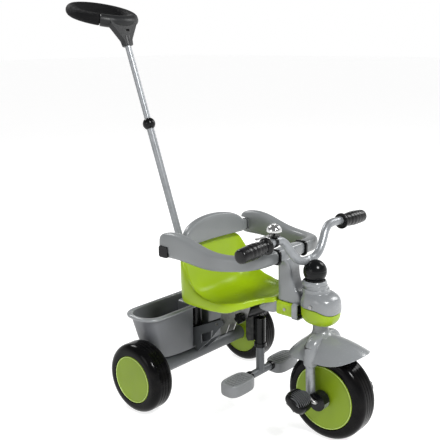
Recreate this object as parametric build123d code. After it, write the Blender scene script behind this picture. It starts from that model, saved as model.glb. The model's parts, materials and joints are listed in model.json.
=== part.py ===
from build123d import *
import math
import os

# Children's push tricycle, millimetres. Front is -Y, up is +Z and the rider's right is -X.
# Everything is drawn with y = 0 at the front axle and z = 0 on the floor; save() then moves
# each piece so that the origin is the middle of the rectangle that the tricycle stands in.

# ---- driving sizes --------------------------------------------------------------------
front_wheel_radius = 107.5
front_tyre_width = 68
front_disc_radius = 79
rear_wheel_radius = 91.3
rear_tyre_width = 67
rear_disc_radius = 62
wheelbase = 443.5
rear_track = 426
handlebar_width = 492
handlebar_height = 490
seat_width = 262
seat_floor_z = 282
seat_back_z = 427
band_top_z = 494
bar_lean = 19.8
bar_length_above_bend = 722
ring_radius = 86
ring_tube_radius = 16
ring_tilt = 15
basket_width = 382
basket_depth = 98
basket_height = 128
steering_tilt = 8

# ---- wall thicknesses, fits and gaps ----------------------------------------------------
shell = 3
tyre_wall = 4
running_fit = 0.06
slide_fit = 0.09
seat_gap = 0.3
axle_radius = 5
tube_wall = 1.5

# ---- places that follow from the driving sizes ------------------------------------------
front_axle_z = front_wheel_radius
rear_axle_z = rear_wheel_radius
steering_y = 31
steering_z = 241
tilt = math.radians(steering_tilt)
lean = math.radians(bar_lean)
lean_direction = Vector(0, math.sin(lean), math.cos(lean))
bar_bend = Vector(0, wheelbase + 3.5, 247)
bar_top = bar_bend + lean_direction * bar_length_above_bend
ring_plane_tilt = math.radians(ring_tilt)
ring_centre = bar_top + Vector(0, 103, 83)
ring_rear_y = ring_centre.Y + ring_radius * math.cos(ring_plane_tilt) + ring_tube_radius
length_middle = (ring_rear_y - front_wheel_radius) / 2


def on_steering_axis(z):
    return Vector(0, steering_y + (z - steering_z) * math.tan(tilt), z)


def save(name, shape):
    moved = Pos(0, -length_middle, 0) * shape
    export_step(moved, os.path.join("parts", name + ".step"))
    print(name, len(moved.solids()), round(moved.volume))


# ---- helpers ------------------------------------------------------------------------------
def rod(start, end, radius, bore=0):
    """A round bar or tube from one point to another."""
    start = Vector(*start)
    end = Vector(*end)
    run = end - start
    place = Plane(origin=(start + end) / 2, z_dir=run)
    bar = place * Cylinder(radius, run.length)
    if bore:
        bar -= place * Cylinder(bore, run.length + 2)
    return bar


def block(x_from, x_to, y_from, y_to, z_from, z_to):
    size = (x_to - x_from, y_to - y_from, z_to - z_from)
    middle = ((x_from + x_to) / 2, (y_from + y_to) / 2, (z_from + z_to) / 2)
    return Pos(*middle) * Box(*size)


def side_slab(outline, x_from, x_to):
    """An outline of (y, z) points, given thickness along X."""
    face = Plane.YZ.offset(x_from) * Polygon(*outline, align=None)
    return extrude(face, amount=x_to - x_from, dir=(1, 0, 0))


def bent_tube(points, radii, outer, bore=0):
    """A tube along straight runs joined by arcs."""
    path = FilletPolyline(*points, radius=radii)
    face = Plane(origin=path @ 0, z_dir=path % 0) * Circle(outer)
    tube = sweep(face, path=path)
    if bore:
        inner = Plane(origin=path @ 0, z_dir=path % 0) * Circle(bore)
        tube -= sweep(inner, path=path)
    return tube


def rounded_prism(x_half, y_from, y_to, z_from, z_to, corner):
    plan = Pos(0, (y_from + y_to) / 2, z_from) * RectangleRounded(2 * x_half, y_to - y_from, corner)
    return extrude(plan, amount=z_to - z_from)


def mirrored(shape):
    return mirror(shape, about=Plane.YZ)


# ---- wheels -------------------------------------------------------------------------------
def tyre(radius, width, disc_radius):
    """A blow-moulded tyre: hollow, round shouldered, with three shallow grooves in its tread."""
    bead = disc_radius + seat_gap
    section = Pos(0, (radius + bead) / 2) * Rectangle(width, radius - bead)
    outer_corners = section.vertices().group_by(Axis.Y)[-1]
    section = fillet(outer_corners, 0.66 * (radius - bead))
    section = fillet(section.vertices().group_by(Axis.Y)[0], 3.5)
    section -= offset(section, amount=-tyre_wall)
    for groove_x in (-width / 7, 0, width / 7):
        section -= Pos(groove_x, radius) * Rectangle(1.8, 2)
    return revolve(section, axis=Axis.X)


def wheel_disc(half_width, disc_radius, bore, collar_radius=0):
    """Half of a wheel's body on its +X side: face, rim bead, skirt and hub tube."""
    face_x = half_width - 1
    rim_x = half_width
    outline = [
        (0.2, bore),
        (face_x, bore),
        (face_x, disc_radius - 3),
        (rim_x, disc_radius - 2.4),
        (rim_x, disc_radius - 0.8),
        (rim_x - 0.8, disc_radius),
        (rim_x - 24, disc_radius),
        (rim_x - 24, disc_radius - shell),
        (face_x - shell, disc_radius - shell),
        (face_x - shell, bore + 7),
        (0.2, bore + 7),
    ]
    disc = revolve(Polygon(*outline, align=None), axis=Axis.X)
    if collar_radius:
        collar = Pos(face_x + 1.5, 0, 0) * Rot(0, 90, 0) * Cylinder(collar_radius + 3, 3)
        collar -= Pos(face_x + 1.5, 0, 0) * Rot(0, 90, 0) * Cylinder(collar_radius, 4)
        disc += collar
    return disc


front_axle = Pos(0, 0, front_axle_z)
front_half = front_tyre_width / 2
rear_half = rear_tyre_width / 2
housing_radius = 20


def front_wheel():
    save("front_tyre", front_axle * tyre(front_wheel_radius, front_tyre_width, front_disc_radius))
    disc = wheel_disc(front_half, front_disc_radius, axle_radius + running_fit)
    save("front_disc_left", front_axle * disc)
    save("front_disc_right", front_axle * mirrored(disc))


def rear_wheels():
    ring = tyre(rear_wheel_radius, rear_tyre_width, rear_disc_radius)
    outer = wheel_disc(rear_half, rear_disc_radius, axle_radius + running_fit)
    cap = Pos(rear_half - 2.5, 0, 0) * Rot(0, 90, 0) * Cylinder(15, 3)
    outer += cap
    inner = mirrored(wheel_disc(rear_half, rear_disc_radius, axle_radius + running_fit, housing_radius + 1))
    for side, name in ((1, "left"), (-1, "right")):
        place = Pos(side * rear_track / 2, wheelbase, rear_axle_z)
        turn = Rot(0, 0, 0) if side > 0 else Rot(0, 0, 180)
        save("rear_tyre_" + name, place * turn * ring)
        save("rear_disc_" + name, place * turn * outer)
        save("rear_hub_" + name, place * turn * inner)


# ---- cranks and pedals ----------------------------------------------------------------------
crank_throw = 24
crank_angle = 30
crank_x = front_half + 34
pedal_from_x = crank_x + 7
pedal_length = 58
pedal_width = 60
pedal_thickness = 24
pedal_tilt = 34
pin_y = crank_throw * math.cos(math.radians(crank_angle))
pin_z = crank_throw * math.sin(math.radians(crank_angle))


def cranks():
    """One bent steel rod: right pin, crank, axle, crank and left pin."""
    pin_end = pedal_from_x + pedal_length - 6
    points = [
        (-pin_end, pin_y, front_axle_z + pin_z),
        (-crank_x, pin_y, front_axle_z + pin_z),
        (-crank_x, 0, front_axle_z),
        (crank_x, 0, front_axle_z),
        (crank_x, -pin_y, front_axle_z - pin_z),
        (pin_end, -pin_y, front_axle_z - pin_z),
    ]
    save("pedal_crank", bent_tube(points, [5.5, 5.5, 5.5, 5.5], axle_radius - 0.5))


def pedal():
    """A ribbed block around its own pin, drawn with the pin along X at y = 0 and z = 0."""
    plan = RectangleRounded(pedal_length, pedal_width, 15)
    body = Pos(pedal_from_x + pedal_length / 2, 0, -pedal_thickness / 2) * extrude(plan, amount=pedal_thickness)
    for face_z in (-pedal_thickness / 2, pedal_thickness / 2):
        for step in range(-3, 4):
            groove = Pos(pedal_from_x + pedal_length / 2 + 7 * step, 0, face_z) * Rot(0, 0, 8)
            body -= groove * Box(2.2, pedal_width - 16, 3)
    return body - Pos(pedal_from_x, 0, 0) * Rot(0, 90, 0) * Cylinder(axle_radius - 0.5 + running_fit, 3 * pedal_length)


def pedals():
    left = Pos(0, -pin_y, front_axle_z - pin_z) * Rot(pedal_tilt, 0, 0) * pedal()
    right = Pos(0, pin_y, front_axle_z + pin_z) * Rot(pedal_tilt, 0, 0) * mirrored(pedal())
    save("pedal_left", left)
    save("pedal_right", right)


# ---- fork and fender ------------------------------------------------------------------------
leg_radius = 11
leg_x = front_half + 17
leg_bottom = (24, front_axle_z + 10)
leg_top = (28, front_wheel_radius * 2 + 7)
crown_height = 14
bearing_radius = 22.5
steerer_radius = 11
steerer_top_z = 421
bearing_inner_x = front_half + 5
bearing_outer_x = leg_x + leg_radius


def fork_leg(side, low_z, high_z, radius, bore=0):
    """A bar on the leg's centre line between two heights."""
    lean_back = (leg_top[0] - leg_bottom[0]) / (leg_top[1] - leg_bottom[1])
    low = (side * leg_x, leg_bottom[0] + (low_z - leg_bottom[1]) * lean_back, low_z)
    high = (side * leg_x, leg_bottom[0] + (high_z - leg_bottom[1]) * lean_back, high_z)
    return rod(low, high, radius, bore)


def fork():
    crown_z = leg_top[1]
    plan = Pos(0, leg_top[0], crown_z) * RectangleRounded(2 * (leg_x + leg_radius), 2 * leg_radius + 8, 12)
    crown = extrude(plan, amount=crown_height)
    steerer_base = on_steering_axis(crown_z + 2)
    crown += rod(steerer_base, on_steering_axis(steerer_top_z), steerer_radius)
    save("fork_crown", crown)
    for side, name in ((1, "left"), (-1, "right")):
        leg = fork_leg(side, leg_bottom[1] - 8, crown_z - 0.05, leg_radius, leg_radius - tube_wall)
        leg -= front_axle * Pos(side * leg_x, 0, 0) * Rot(0, 90, 0) * Cylinder(bearing_radius + 0.05, 60)
        leg -= block(side * leg_x - 20, side * leg_x + 20, -40, 80, crown_z - 0.05, crown_z + 30)
        save("fork_leg_" + name, leg)


def fork_bearing(side):
    """The black bearing block at the end of a fork leg, cut back below for the steel strap."""
    width = bearing_outer_x - bearing_inner_x
    middle = front_axle * Pos(side * (bearing_outer_x + bearing_inner_x) / 2, 0, 0) * Rot(0, 90, 0)
    body = middle * Cylinder(bearing_radius, width)
    body -= middle * Cylinder(axle_radius - 0.5 + running_fit, width + 2)
    lower = block(-90, 90, -60, 60, front_axle_z - 60, front_axle_z)
    strap = middle * Cylinder(bearing_radius, width - 4)
    strap -= middle * Cylinder(bearing_radius - 2.5, width)
    return body - (strap & lower), strap & lower


def fork_bearings():
    bearings = []
    straps = []
    for side in (-1, 1):
        bearing, strap = fork_bearing(side)
        bearings += bearing.solids()
        straps += strap.solids()
    save("fork_bearings", Compound(bearings))
    save("fork_straps", Compound(straps))


fender_half = 48
neck_radius = 18.5
neck_top_z = 275


def fender():
    """Moulded front fender: arched shell, crown cover, leg sleeves and neck in one piece."""
    top = ThreePointArc((111, 195), (15, 256), (-92, 241))
    bottom = Polyline((-92, 241), (-44, 222), (20, 198), (60, 189), (111, 195))
    face = Plane.YZ.offset(-fender_half) * make_face([top, bottom])
    outer = extrude(face, amount=2 * fender_half, dir=(1, 0, 0))
    inner_face = Plane.YZ.offset(-fender_half + shell) * offset(make_face([top, bottom]), amount=-shell)
    inner = extrude(inner_face, amount=2 * (fender_half - shell), dir=(1, 0, 0))
    inner += Pos(0, 0, -14) * inner
    plan = Pos(0, 9, 0) * Ellipse(fender_half + 2, 104)
    body = (outer - inner) & extrude(plan, amount=400)
    crown_z = leg_top[1]
    cover_half = leg_x + leg_radius + 3.2
    cover_plan = Pos(0, leg_top[0], crown_z - 4) * RectangleRounded(2 * cover_half, 2 * leg_radius + 14.4, 15)
    body += extrude(cover_plan, amount=crown_height + 12)
    for side in (-1, 1):
        body += fork_leg(side, 190, crown_z + 4, leg_radius + 3)
    neck_low = on_steering_axis(crown_z + 12)
    neck_mid = on_steering_axis(crown_z + 34)
    body += rod(neck_low, on_steering_axis(neck_top_z), neck_radius)
    flare = Plane(origin=(neck_low + neck_mid) / 2, z_dir=neck_mid - neck_low)
    body += flare * Cone(32, neck_radius, (neck_mid - neck_low).length)
    wheel_room = front_axle * Rot(0, 90, 0) * Cylinder(front_wheel_radius + 6, 2 * (fender_half - shell))
    body -= wheel_room
    crown_room = Pos(0, leg_top[0], crown_z - 40)
    crown_room = crown_room * RectangleRounded(2 * (leg_x + leg_radius) + 0.6, 2 * leg_radius + 8.6, 12)
    body -= extrude(crown_room, amount=40 + crown_height + seat_gap) & block(-90, 90, -90, 90, crown_z - 1, 300)
    for side in (-1, 1):
        body -= fork_leg(side, leg_bottom[1], crown_z + 1, leg_radius + 0.1)
    body -= rod(on_steering_axis(crown_z), on_steering_axis(neck_top_z + 9), steerer_radius + 0.05)
    save("front_fender", body.solids().sort_by(SortBy.VOLUME)[-1])


# ---- handlebar, grips, ball cap and bell --------------------------------------------------
bar_radius = 9
grip_length = 98
bar_end = Vector(handlebar_width / 2 - 4, 79, handlebar_height)
bar_bend_high = Vector(95, 84, handlebar_height + 7)
bar_bend_low = Vector(34, 73, handlebar_height - 60.5)
ball_radius = 28.5
ball_centre = on_steering_axis(handlebar_height - 85)
hood_top_z = 374.5


def handlebar_line(radius):
    left = [tuple(corner) for corner in (bar_bend_low, bar_bend_high, bar_end)]
    right = [(-x, y, z) for x, y, z in reversed(left)]
    return bent_tube(right + left, [26, 40, 40, 26], radius)


def handlebar_point(x):
    """The bar's centre on its outer run, at a signed distance from the middle."""
    share = (abs(x) - bar_bend_high.X) / (bar_end.X - bar_bend_high.X)
    point = bar_bend_high + (bar_end - bar_bend_high) * share
    return Vector(x, point.Y, point.Z)


def handlebar():
    body = handlebar_line(bar_radius)
    stem_low = on_steering_axis(handlebar_height - 88)
    stem_high = on_steering_axis(steerer_top_z)
    body += rod(stem_low, stem_high, steerer_radius + 3)
    body += block(-9, 9, 50, bar_bend_low.Y, steerer_top_z - 12, bar_bend_low.Z)
    body -= rod(on_steering_axis(handlebar_height - 110), on_steering_axis(steerer_top_z), steerer_radius + 0.05)
    save("handlebar", body)


def grip():
    """A rubber grip with a flange, a waist and a barrel, turned about the handlebar's end."""
    outline = [(bar_radius + 0.05, 0), (19, 0), (19, 5), (14.5, 8), (14, 12)]
    barrel = ThreePointArc((14, 12), (19, grip_length * 0.52), (16, grip_length - 3))
    nose = Polyline((16, grip_length - 3), (13, grip_length), (0, grip_length), (0, grip_length - 4))
    inner = Polyline((0, grip_length - 4), (bar_radius + 0.05, grip_length - 4), (bar_radius + 0.05, 0))
    section = make_face([Polyline(*outline), barrel, nose, inner])
    turned = revolve(Plane.XZ * section, axis=Axis.Z)
    direction = (bar_end - bar_bend_high).normalized()
    start = bar_end - direction * (grip_length - 4)
    return Plane(origin=start, z_dir=direction) * turned


def grips():
    save("grip_left", grip())
    save("grip_right", mirrored(grip()))


def ball_cap():
    """A hollow black ball over the stem, on a short round skirt."""
    skirt_z = hood_top_z + 1
    centre = Pos(*ball_centre)
    foot = Pos(0, ball_centre.Y - 2, 0)
    ball = centre * Sphere(ball_radius) + foot * Pos(0, 0, (skirt_z + ball_centre.Z - 8) / 2) * Cylinder(
        ball_radius - 5, ball_centre.Z - 8 - skirt_z
    )
    inside = centre * Sphere(ball_radius - shell) + foot * Pos(0, 0, (skirt_z + ball_centre.Z - 8) / 2) * Cylinder(
        ball_radius - 5 - shell, ball_centre.Z - 6 - skirt_z
    )
    ball -= inside
    ball -= block(-60, 60, -20, 120, skirt_z - 30, skirt_z)
    ball -= handlebar_line(bar_radius + 0.3)
    ball -= block(-9.3, 9.3, 49.5, 120, steerer_top_z - 13, bar_bend_low.Z + 4)
    save("steering_ball", ball.solids().sort_by(SortBy.VOLUME)[-1])


bell_x = -121
bell_y = handlebar_point(bell_x).Y
bell_bar_z = handlebar_point(bell_x).Z
bell_base_z = bell_bar_z + 15
bell_radius = 17.5
lever_pivot_x = bell_x - 16


def bell():
    base = rod(handlebar_point(bell_x - 4), handlebar_point(bell_x + 4), bar_radius + 3.5)
    base += block(bell_x - 4, bell_x + 4, bell_y - 5, bell_y + 5, bell_bar_z + 8, bell_base_z)
    base += Pos(bell_x, bell_y, bell_base_z + 1.5) * Cylinder(14, 3)
    base += Pos(lever_pivot_x, bell_y, bell_base_z + 1.5) * Cylinder(5, 3)
    base += Pos(lever_pivot_x, bell_y, bell_base_z + 5) * Cylinder(1.5, 5)
    base += Pos(bell_x, bell_y, bell_base_z + 15) * Cylinder(2.5, 26)
    base -= rod(handlebar_point(bell_x - 9), handlebar_point(bell_x + 9), bar_radius + 0.05)
    save("bell_base", base)
    dome_z = bell_base_z + 11
    arch = make_face([
        Polyline((0, dome_z), (bell_radius, dome_z)),
        ThreePointArc((bell_radius, dome_z), (bell_radius * 0.72, dome_z + 11.5), (0, dome_z + 16)),
        Polyline((0, dome_z + 16), (0, dome_z)),
    ])
    dome = revolve(Plane.XZ * arch, axis=Axis.Z)
    hollow = Pos(0, 0, -1.6) * dome
    dome = dome - hollow + Pos(0, 0, dome_z + 16.5) * Cylinder(4, 3)
    dome -= Pos(0, 0, dome_z) * Cylinder(2.55, 60)
    dome = Pos(bell_x, bell_y, 0) * dome
    save("bell_dome", dome.solids().sort_by(SortBy.VOLUME)[-1])
    lever_z = bell_base_z + 4.6
    lever = Pos(lever_pivot_x, bell_y, lever_z) * Cylinder(4, 2.8)
    lever += block(bell_x - 62, lever_pivot_x - 2, bell_y - 2, bell_y + 2, lever_z - 1.2, lever_z + 1.2)
    lever += Pos(bell_x - 60, bell_y, lever_z) * Cylinder(5, 2.4)
    lever -= Pos(lever_pivot_x, bell_y, lever_z) * Cylinder(1.5 + running_fit, 6)
    save("bell_lever", lever)


# ---- frame ----------------------------------------------------------------------------------
beam_radius = 12.5
head_radius = 16
head_bore = 13
head_low_z = 281
head_high_z = 366
beam_front_z = 301
beam_knee = Vector(0, 168, 296.5)
beam_tail = Vector(0, wheelbase + 3.5, 148)
socket_outer = 17
bar_outer = 10
bar_upper_radius = 8.5
frame_inner_x = rear_track / 2 - rear_half


def beam_z(y):
    """Height of the beam's centre where it slopes down under the seat."""
    share = (y - beam_knee.Y) / (beam_tail.Y - beam_knee.Y)
    return beam_knee.Z + share * (beam_tail.Z - beam_knee.Z)


def main_frame():
    """Welded steel: head tube and the beam that runs down to the rear axle."""
    head = rod(on_steering_axis(head_low_z), on_steering_axis(head_high_z), head_radius)
    start = on_steering_axis(beam_front_z)
    points = [(0, start.Y, start.Z), (0, beam_knee.Y, beam_knee.Z), (0, beam_tail.Y, beam_tail.Z)]
    body = head + bent_tube(points, [70], beam_radius)
    body -= rod(on_steering_axis(head_low_z - 9), on_steering_axis(head_high_z + 9), head_bore)
    body -= rod((0, wheelbase + 3.5, 80), (0, wheelbase + 3.5, 300), socket_outer + 0.2)
    save("main_frame", body.solids().sort_by(SortBy.VOLUME)[-1])


def head_bushes():
    bushes = []
    for low, high, flange_low in ((head_low_z - 3, head_low_z + 14, True), (head_high_z - 14, head_high_z + 3, False)):
        bush = rod(on_steering_axis(low), on_steering_axis(high), head_bore - 0.02)
        flange = (low, head_low_z - 0.05) if flange_low else (head_high_z + 0.05, high)
        bush += rod(on_steering_axis(flange[0]), on_steering_axis(flange[1]), head_radius)
        bush -= rod(on_steering_axis(low - 9), on_steering_axis(high + 9), steerer_radius + running_fit)
        bushes += bush.solids()
    save("head_bushes", Compound(bushes))


def rear_frame():
    """Axle housing with the two gusset plates that carry the beam and the push bar's socket."""
    end_x = frame_inner_x - 1.2
    housing = Pos(0, wheelbase, rear_axle_z) * Rot(0, 90, 0) * Cylinder(housing_radius, 2 * end_x)
    housing -= Pos(0, wheelbase, rear_axle_z) * Rot(0, 90, 0) * Cylinder(axle_radius + 0.05, 2 * end_x + 2)
    outline = [
        (wheelbase - 14, rear_axle_z + 4),
        (wheelbase - 62, rear_axle_z + 50),
        (wheelbase - 118, beam_z(wheelbase - 118) - 4),
        (wheelbase - 108, beam_z(wheelbase - 108) + 8),
        (wheelbase + 22, beam_tail.Z + 6),
        (wheelbase + 22, rear_axle_z + 10),
    ]
    window = [
        (wheelbase - 34, rear_axle_z + 36),
        (wheelbase - 72, rear_axle_z + 62),
        (wheelbase - 78, beam_z(wheelbase - 78) - 13.5),
        (wheelbase - 34, beam_z(wheelbase - 34) - 13.5),
    ]
    for side in (-1, 1):
        near = side * (socket_outer + 1)
        far = side * (socket_outer + 4)
        plate = side_slab(outline, min(near, far), max(near, far))
        plate -= side_slab(window, -40, 40)
        housing += plate
    save("rear_axle_housing", housing)
    axle_half = rear_track / 2 + rear_half - 8
    axle = Pos(0, wheelbase, rear_axle_z) * Rot(0, 90, 0) * Cylinder(axle_radius, 2 * axle_half)
    save("rear_axle", axle)


hood_half = 43
hood_front_y = -13
hood_rear_y = 82
hood_low_z = 317
hood_shoulder_z = 358
chin_low_z = 279
tunnel_half = 28
tunnel_rear_y = 146
tunnel_low_z = 281.5
tunnel_high_z = 316.5
strap_depth = 15


def beam_room(clearance):
    """Space for the beam's level front run."""
    start = on_steering_axis(beam_front_z)
    slope = (beam_knee.Z - start.Z) / (beam_knee.Y - start.Y)
    return rod((0, start.Y, start.Z), (0, start.Y + 140, start.Z + 140 * slope), beam_radius + clearance)


def front_covers():
    """Grey hood over the head tube and the green covers below and behind it."""
    hood = rounded_prism(hood_half, hood_front_y, hood_rear_y, hood_low_z, hood_shoulder_z, 34)
    hood = fillet(hood.edges().group_by(Axis.Z)[-1], 16)
    hollow = rounded_prism(hood_half - shell, hood_front_y + shell, hood_rear_y - shell, 300,
                           hood_shoulder_z - shell, 34 - shell)
    hood -= fillet(hollow.edges().group_by(Axis.Z)[-1], 16 - shell)
    collar_y = on_steering_axis(366).Y
    hood += Pos(0, collar_y, 361) * Cylinder(33, 9)
    hood += Pos(0, collar_y, 370) * Cylinder(28.5, 9)
    hood -= rod(on_steering_axis(340), on_steering_axis(376), head_radius + 0.4)
    hood -= rod(on_steering_axis(366 + 3.5), on_steering_axis(385), ball_radius - 3)
    save("hood", hood.solids().sort_by(SortBy.VOLUME)[-1])
    chin = rounded_prism(hood_half - 2, hood_front_y + 2, hood_rear_y - 1, chin_low_z, hood_low_z - 0.3, 32)
    chin = fillet(chin.edges().group_by(Axis.Z)[0], 22)
    inside = rounded_prism(hood_half - 5, hood_front_y + 5, hood_rear_y - 4, chin_low_z + shell, hood_low_z + 2, 29)
    chin -= fillet(inside.edges().group_by(Axis.Z)[0], 19)
    chin -= rod(on_steering_axis(250), on_steering_axis(300), head_radius + 1.5)
    chin -= beam_room(1)
    save("chin_cover", chin.solids().sort_by(SortBy.VOLUME)[-1])
    tunnel_front_y = hood_rear_y + strap_depth + seat_gap
    tunnel = block(-tunnel_half, tunnel_half, tunnel_front_y, tunnel_rear_y, tunnel_low_z, tunnel_high_z)
    tunnel = fillet(tunnel.edges().filter_by(Axis.Y), 7)
    tunnel -= block(-tunnel_half + 2.5, tunnel_half - 2.5, tunnel_front_y - 1, tunnel_rear_y + 1,
                    tunnel_low_z + 2, tunnel_high_z - 2)
    save("tunnel_cover", tunnel)
    strap = block(-tunnel_half - 5, tunnel_half + 5, hood_rear_y, hood_rear_y + strap_depth, 280, 321.5)
    strap = fillet(strap.edges().filter_by(Axis.Y), 8)
    strap -= block(-tunnel_half - 1, tunnel_half + 1, 60, 120, 283, 318)
    save("tunnel_strap", strap)
    outline = [
        (tunnel_rear_y + seat_gap, 277),
        (tunnel_rear_y + seat_gap, 313),
        (158, 312),
        (206, 292),
        (206, 258),
        (190, 265),
    ]
    shroud = side_slab(outline, -26, 26)
    shroud -= rod((0, 150, beam_z(150)), (0, 230, beam_z(230)), beam_radius + 0.5)
    shroud -= beam_room(0.5)
    shroud -= block(-beam_radius - 1, beam_radius + 1, 130, 180, 278, 300)
    save("beam_shroud", shroud.solids().sort_by(SortBy.VOLUME)[-1])


post_front_y = 110
post_rear_y = 150
post_half = 22
crossbar_half = 50
crossbar_low_z = 419
crossbar_high_z = 453
crossbar_front_y = 117
crossbar_rear_y = 150
clasp_width = 5


def front_post():
    foot_front_y = hood_rear_y + seat_gap
    outline = [
        (foot_front_y, 322),
        (foot_front_y, 350),
        (post_front_y - 13, 353),
        (post_front_y - 4, 362),
        (post_front_y, 378),
        (post_front_y, 440),
        (post_rear_y, 440),
        (post_rear_y, 317.5),
        (foot_front_y + 17, 317.5),
        (foot_front_y + 17, 322),
    ]
    post = side_slab(outline, -post_half, post_half)
    post = fillet(post.edges().filter_by(Axis.Z).sort_by(Axis.Y)[-2:], 8)
    bar = block(-crossbar_half, crossbar_half, crossbar_front_y, crossbar_rear_y, crossbar_low_z, crossbar_high_z)
    bar = fillet(bar.edges().filter_by(Axis.X), 10)
    save("front_post", post + bar)
    clasps = []
    for side in (-1, 1):
        from_x = side * (crossbar_half + 0.05)
        to_x = side * (crossbar_half + clasp_width)
        clasp = block(min(from_x, to_x), max(from_x, to_x), crossbar_front_y - 2, crossbar_rear_y + 2,
                      crossbar_low_z - 2, crossbar_high_z + 2)
        clasps += fillet(clasp.edges().filter_by(Axis.X), 11).solids()
    save("arm_clasps", Compound(clasps))


# ---- seat, back band and arms -----------------------------------------------------------------
seat_half = seat_width / 2
seat_rear_y = 396
seat_nose_y = 152.5
nose_half = 25
stub_y = 384
stub_z = 441
stub_half_height = 15
arm_x = seat_half + 25
barrel_radius = 11


def seat_plan(inset):
    """The seat seen from above: a nose between the knees that opens into a round bucket."""
    points = [
        (nose_half - inset, seat_nose_y + inset),
        (nose_half + 10 - inset, 182),
        (seat_half * 0.8 - inset, 219),
        (seat_half * 0.95 - inset, 250),
        (seat_half - inset, 290),
        (seat_half - inset, seat_rear_y - 30),
        (seat_half - 8 - inset, seat_rear_y - 8 - inset),
        (seat_half - 24 - inset, seat_rear_y - inset),
    ]
    right = [(-x, y) for x, y in reversed(points)]
    return Polygon(*points, *right, align=None)


def seat():
    outer = extrude(Pos(0, 0, seat_floor_z) * seat_plan(0), amount=seat_back_z - seat_floor_z, dir=(0, 0, 1))
    inner = extrude(Pos(0, 0, seat_floor_z + shell) * seat_plan(shell + 1), amount=200, dir=(0, 0, 1))
    nose_ramp = [(140, 270), (140, 318), (160, 317), (206, 297), (228, seat_floor_z + shell), (228, 270)]
    inner -= side_slab(nose_ramp, -seat_half, seat_half)
    side_view = [
        (seat_nose_y - 5, 250),
        (seat_nose_y - 5, seat_floor_z + 45),
        (200, seat_floor_z + 38),
        (300, seat_floor_z + 38),
        (345, seat_floor_z + 66),
        (372, seat_back_z),
        (420, seat_back_z),
        (420, 250),
    ]
    body = (outer - inner) & side_slab(side_view, -seat_half - 5, seat_half + 5)
    body -= side_slab([(140, 250), (140, 314), (160, 313), (206, 293), (230, 281.7), (230, 250)], -27, 27)
    save("seat_shell", body.solids().sort_by(SortBy.VOLUME)[-1])


def backrest_band():
    """Arched band over the top of the seat's back, with a stub and a hinge barrel at each end."""
    low = seat_back_z + seat_gap
    shoulder = band_top_z - 8
    face = make_face([
        Polyline((-118, low + 26), (-118, low), (118, low), (118, low + 26)),
        ThreePointArc((118, low + 26), (98, shoulder - 14), (60, shoulder)),
        ThreePointArc((60, shoulder), (0, band_top_z), (-60, shoulder)),
        ThreePointArc((-60, shoulder), (-98, shoulder - 14), (-118, low + 26)),
    ])
    band = extrude(Plane.XZ.offset(-seat_rear_y) * face, amount=28, dir=(0, -1, 0))
    for side in (-1, 1):
        from_x = side * 112
        to_x = side * (arm_x - 3)
        band += block(min(from_x, to_x), max(from_x, to_x), stub_y - 8, stub_y + 8,
                      low, stub_z + stub_half_height)
        band += Pos(side * arm_x, stub_y, stub_z) * Cylinder(barrel_radius, 2 * stub_half_height)
        band += Pos(side * arm_x, stub_y, stub_z) * Cylinder(4, 2 * stub_half_height + 16)
    save("backrest_band", band)


def arm(side):
    """One arm rail: tall at the back, slim at the front, where it turns in to the post."""
    front_z = (crossbar_low_z + crossbar_high_z) / 2
    front_y = (crossbar_front_y + crossbar_rear_y) / 2
    end_x = crossbar_half + clasp_width + seat_gap + 0.1
    x = arm_x + 2
    stations = [
        ((x, 411, 441), (0, -1, 0), 20, 44),
        ((x, 403, 441), (0, -1, 0), 32, 60),
        ((x, 372, 444), (0, -1, 0), 34, 66),
        ((x, 330, 445), (0, -1, 0), 34, 64),
        ((x - 1, 285, 434), (0, -1, 0), 34, 54),
        ((x - 4, 240, 428), (0.08, -1, 0), 33, 45),
        ((x - 9, 195, 430), (0.25, -1, 0), 33, 38),
        ((x - 24, 156, 434), (0.8, -0.8, 0), 33, 35),
        ((x - 52, front_y + 3, front_z), (1, -0.15, 0), 33, 33),
        ((end_x, front_y, front_z), (1, 0, 0), 32, 33),
    ]
    sections = []
    for centre, direction, width, height in stations:
        point = Vector(side * centre[0], centre[1], centre[2])
        heading = Vector(-side * direction[0], direction[1], direction[2])
        across = heading.cross(Vector(0, 0, 1))
        place = Plane(origin=point, x_dir=across, z_dir=heading)
        sections.append(place * RectangleRounded(width, height, 0.4 * min(width, height)))
    body = loft(sections)
    ear = stub_half_height + 0.4
    low = side * (arm_x + 9)
    high = side * (arm_x - 40)
    body -= block(min(low, high), max(low, high), stub_y - 8.6, stub_y + 50, stub_z - ear, stub_z + ear)
    body -= Pos(side * arm_x, stub_y, stub_z) * Cylinder(barrel_radius + 0.4, 2 * ear)
    body -= Pos(side * arm_x, stub_y, stub_z) * Cylinder(4 + running_fit, 2 * stub_half_height + 17)
    pocket = block(arm_x + 13, arm_x + 30, button_y - 15.3, button_y + 15.3, button_z - 14.3, button_z + 14.3)
    body -= pocket if side > 0 else mirrored(pocket)
    return body.solids().sort_by(SortBy.VOLUME)[-1]


button_y = 387
button_z = 428
button_travel = 2.5


def arms():
    button = block(arm_x + 16, arm_x + 21, button_y - 15, button_y + 15, button_z - 14, button_z + 14)
    button = fillet(button.edges().filter_by(Axis.X), 5)
    save("arm_left", arm(1))
    save("arm_right", arm(-1))
    save("arm_button_left", button)
    save("arm_button_right", mirrored(button))


# ---- seat mount and knobs -----------------------------------------------------------------------
seat_knob_y = 268
seat_knob_z = 238


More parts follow.
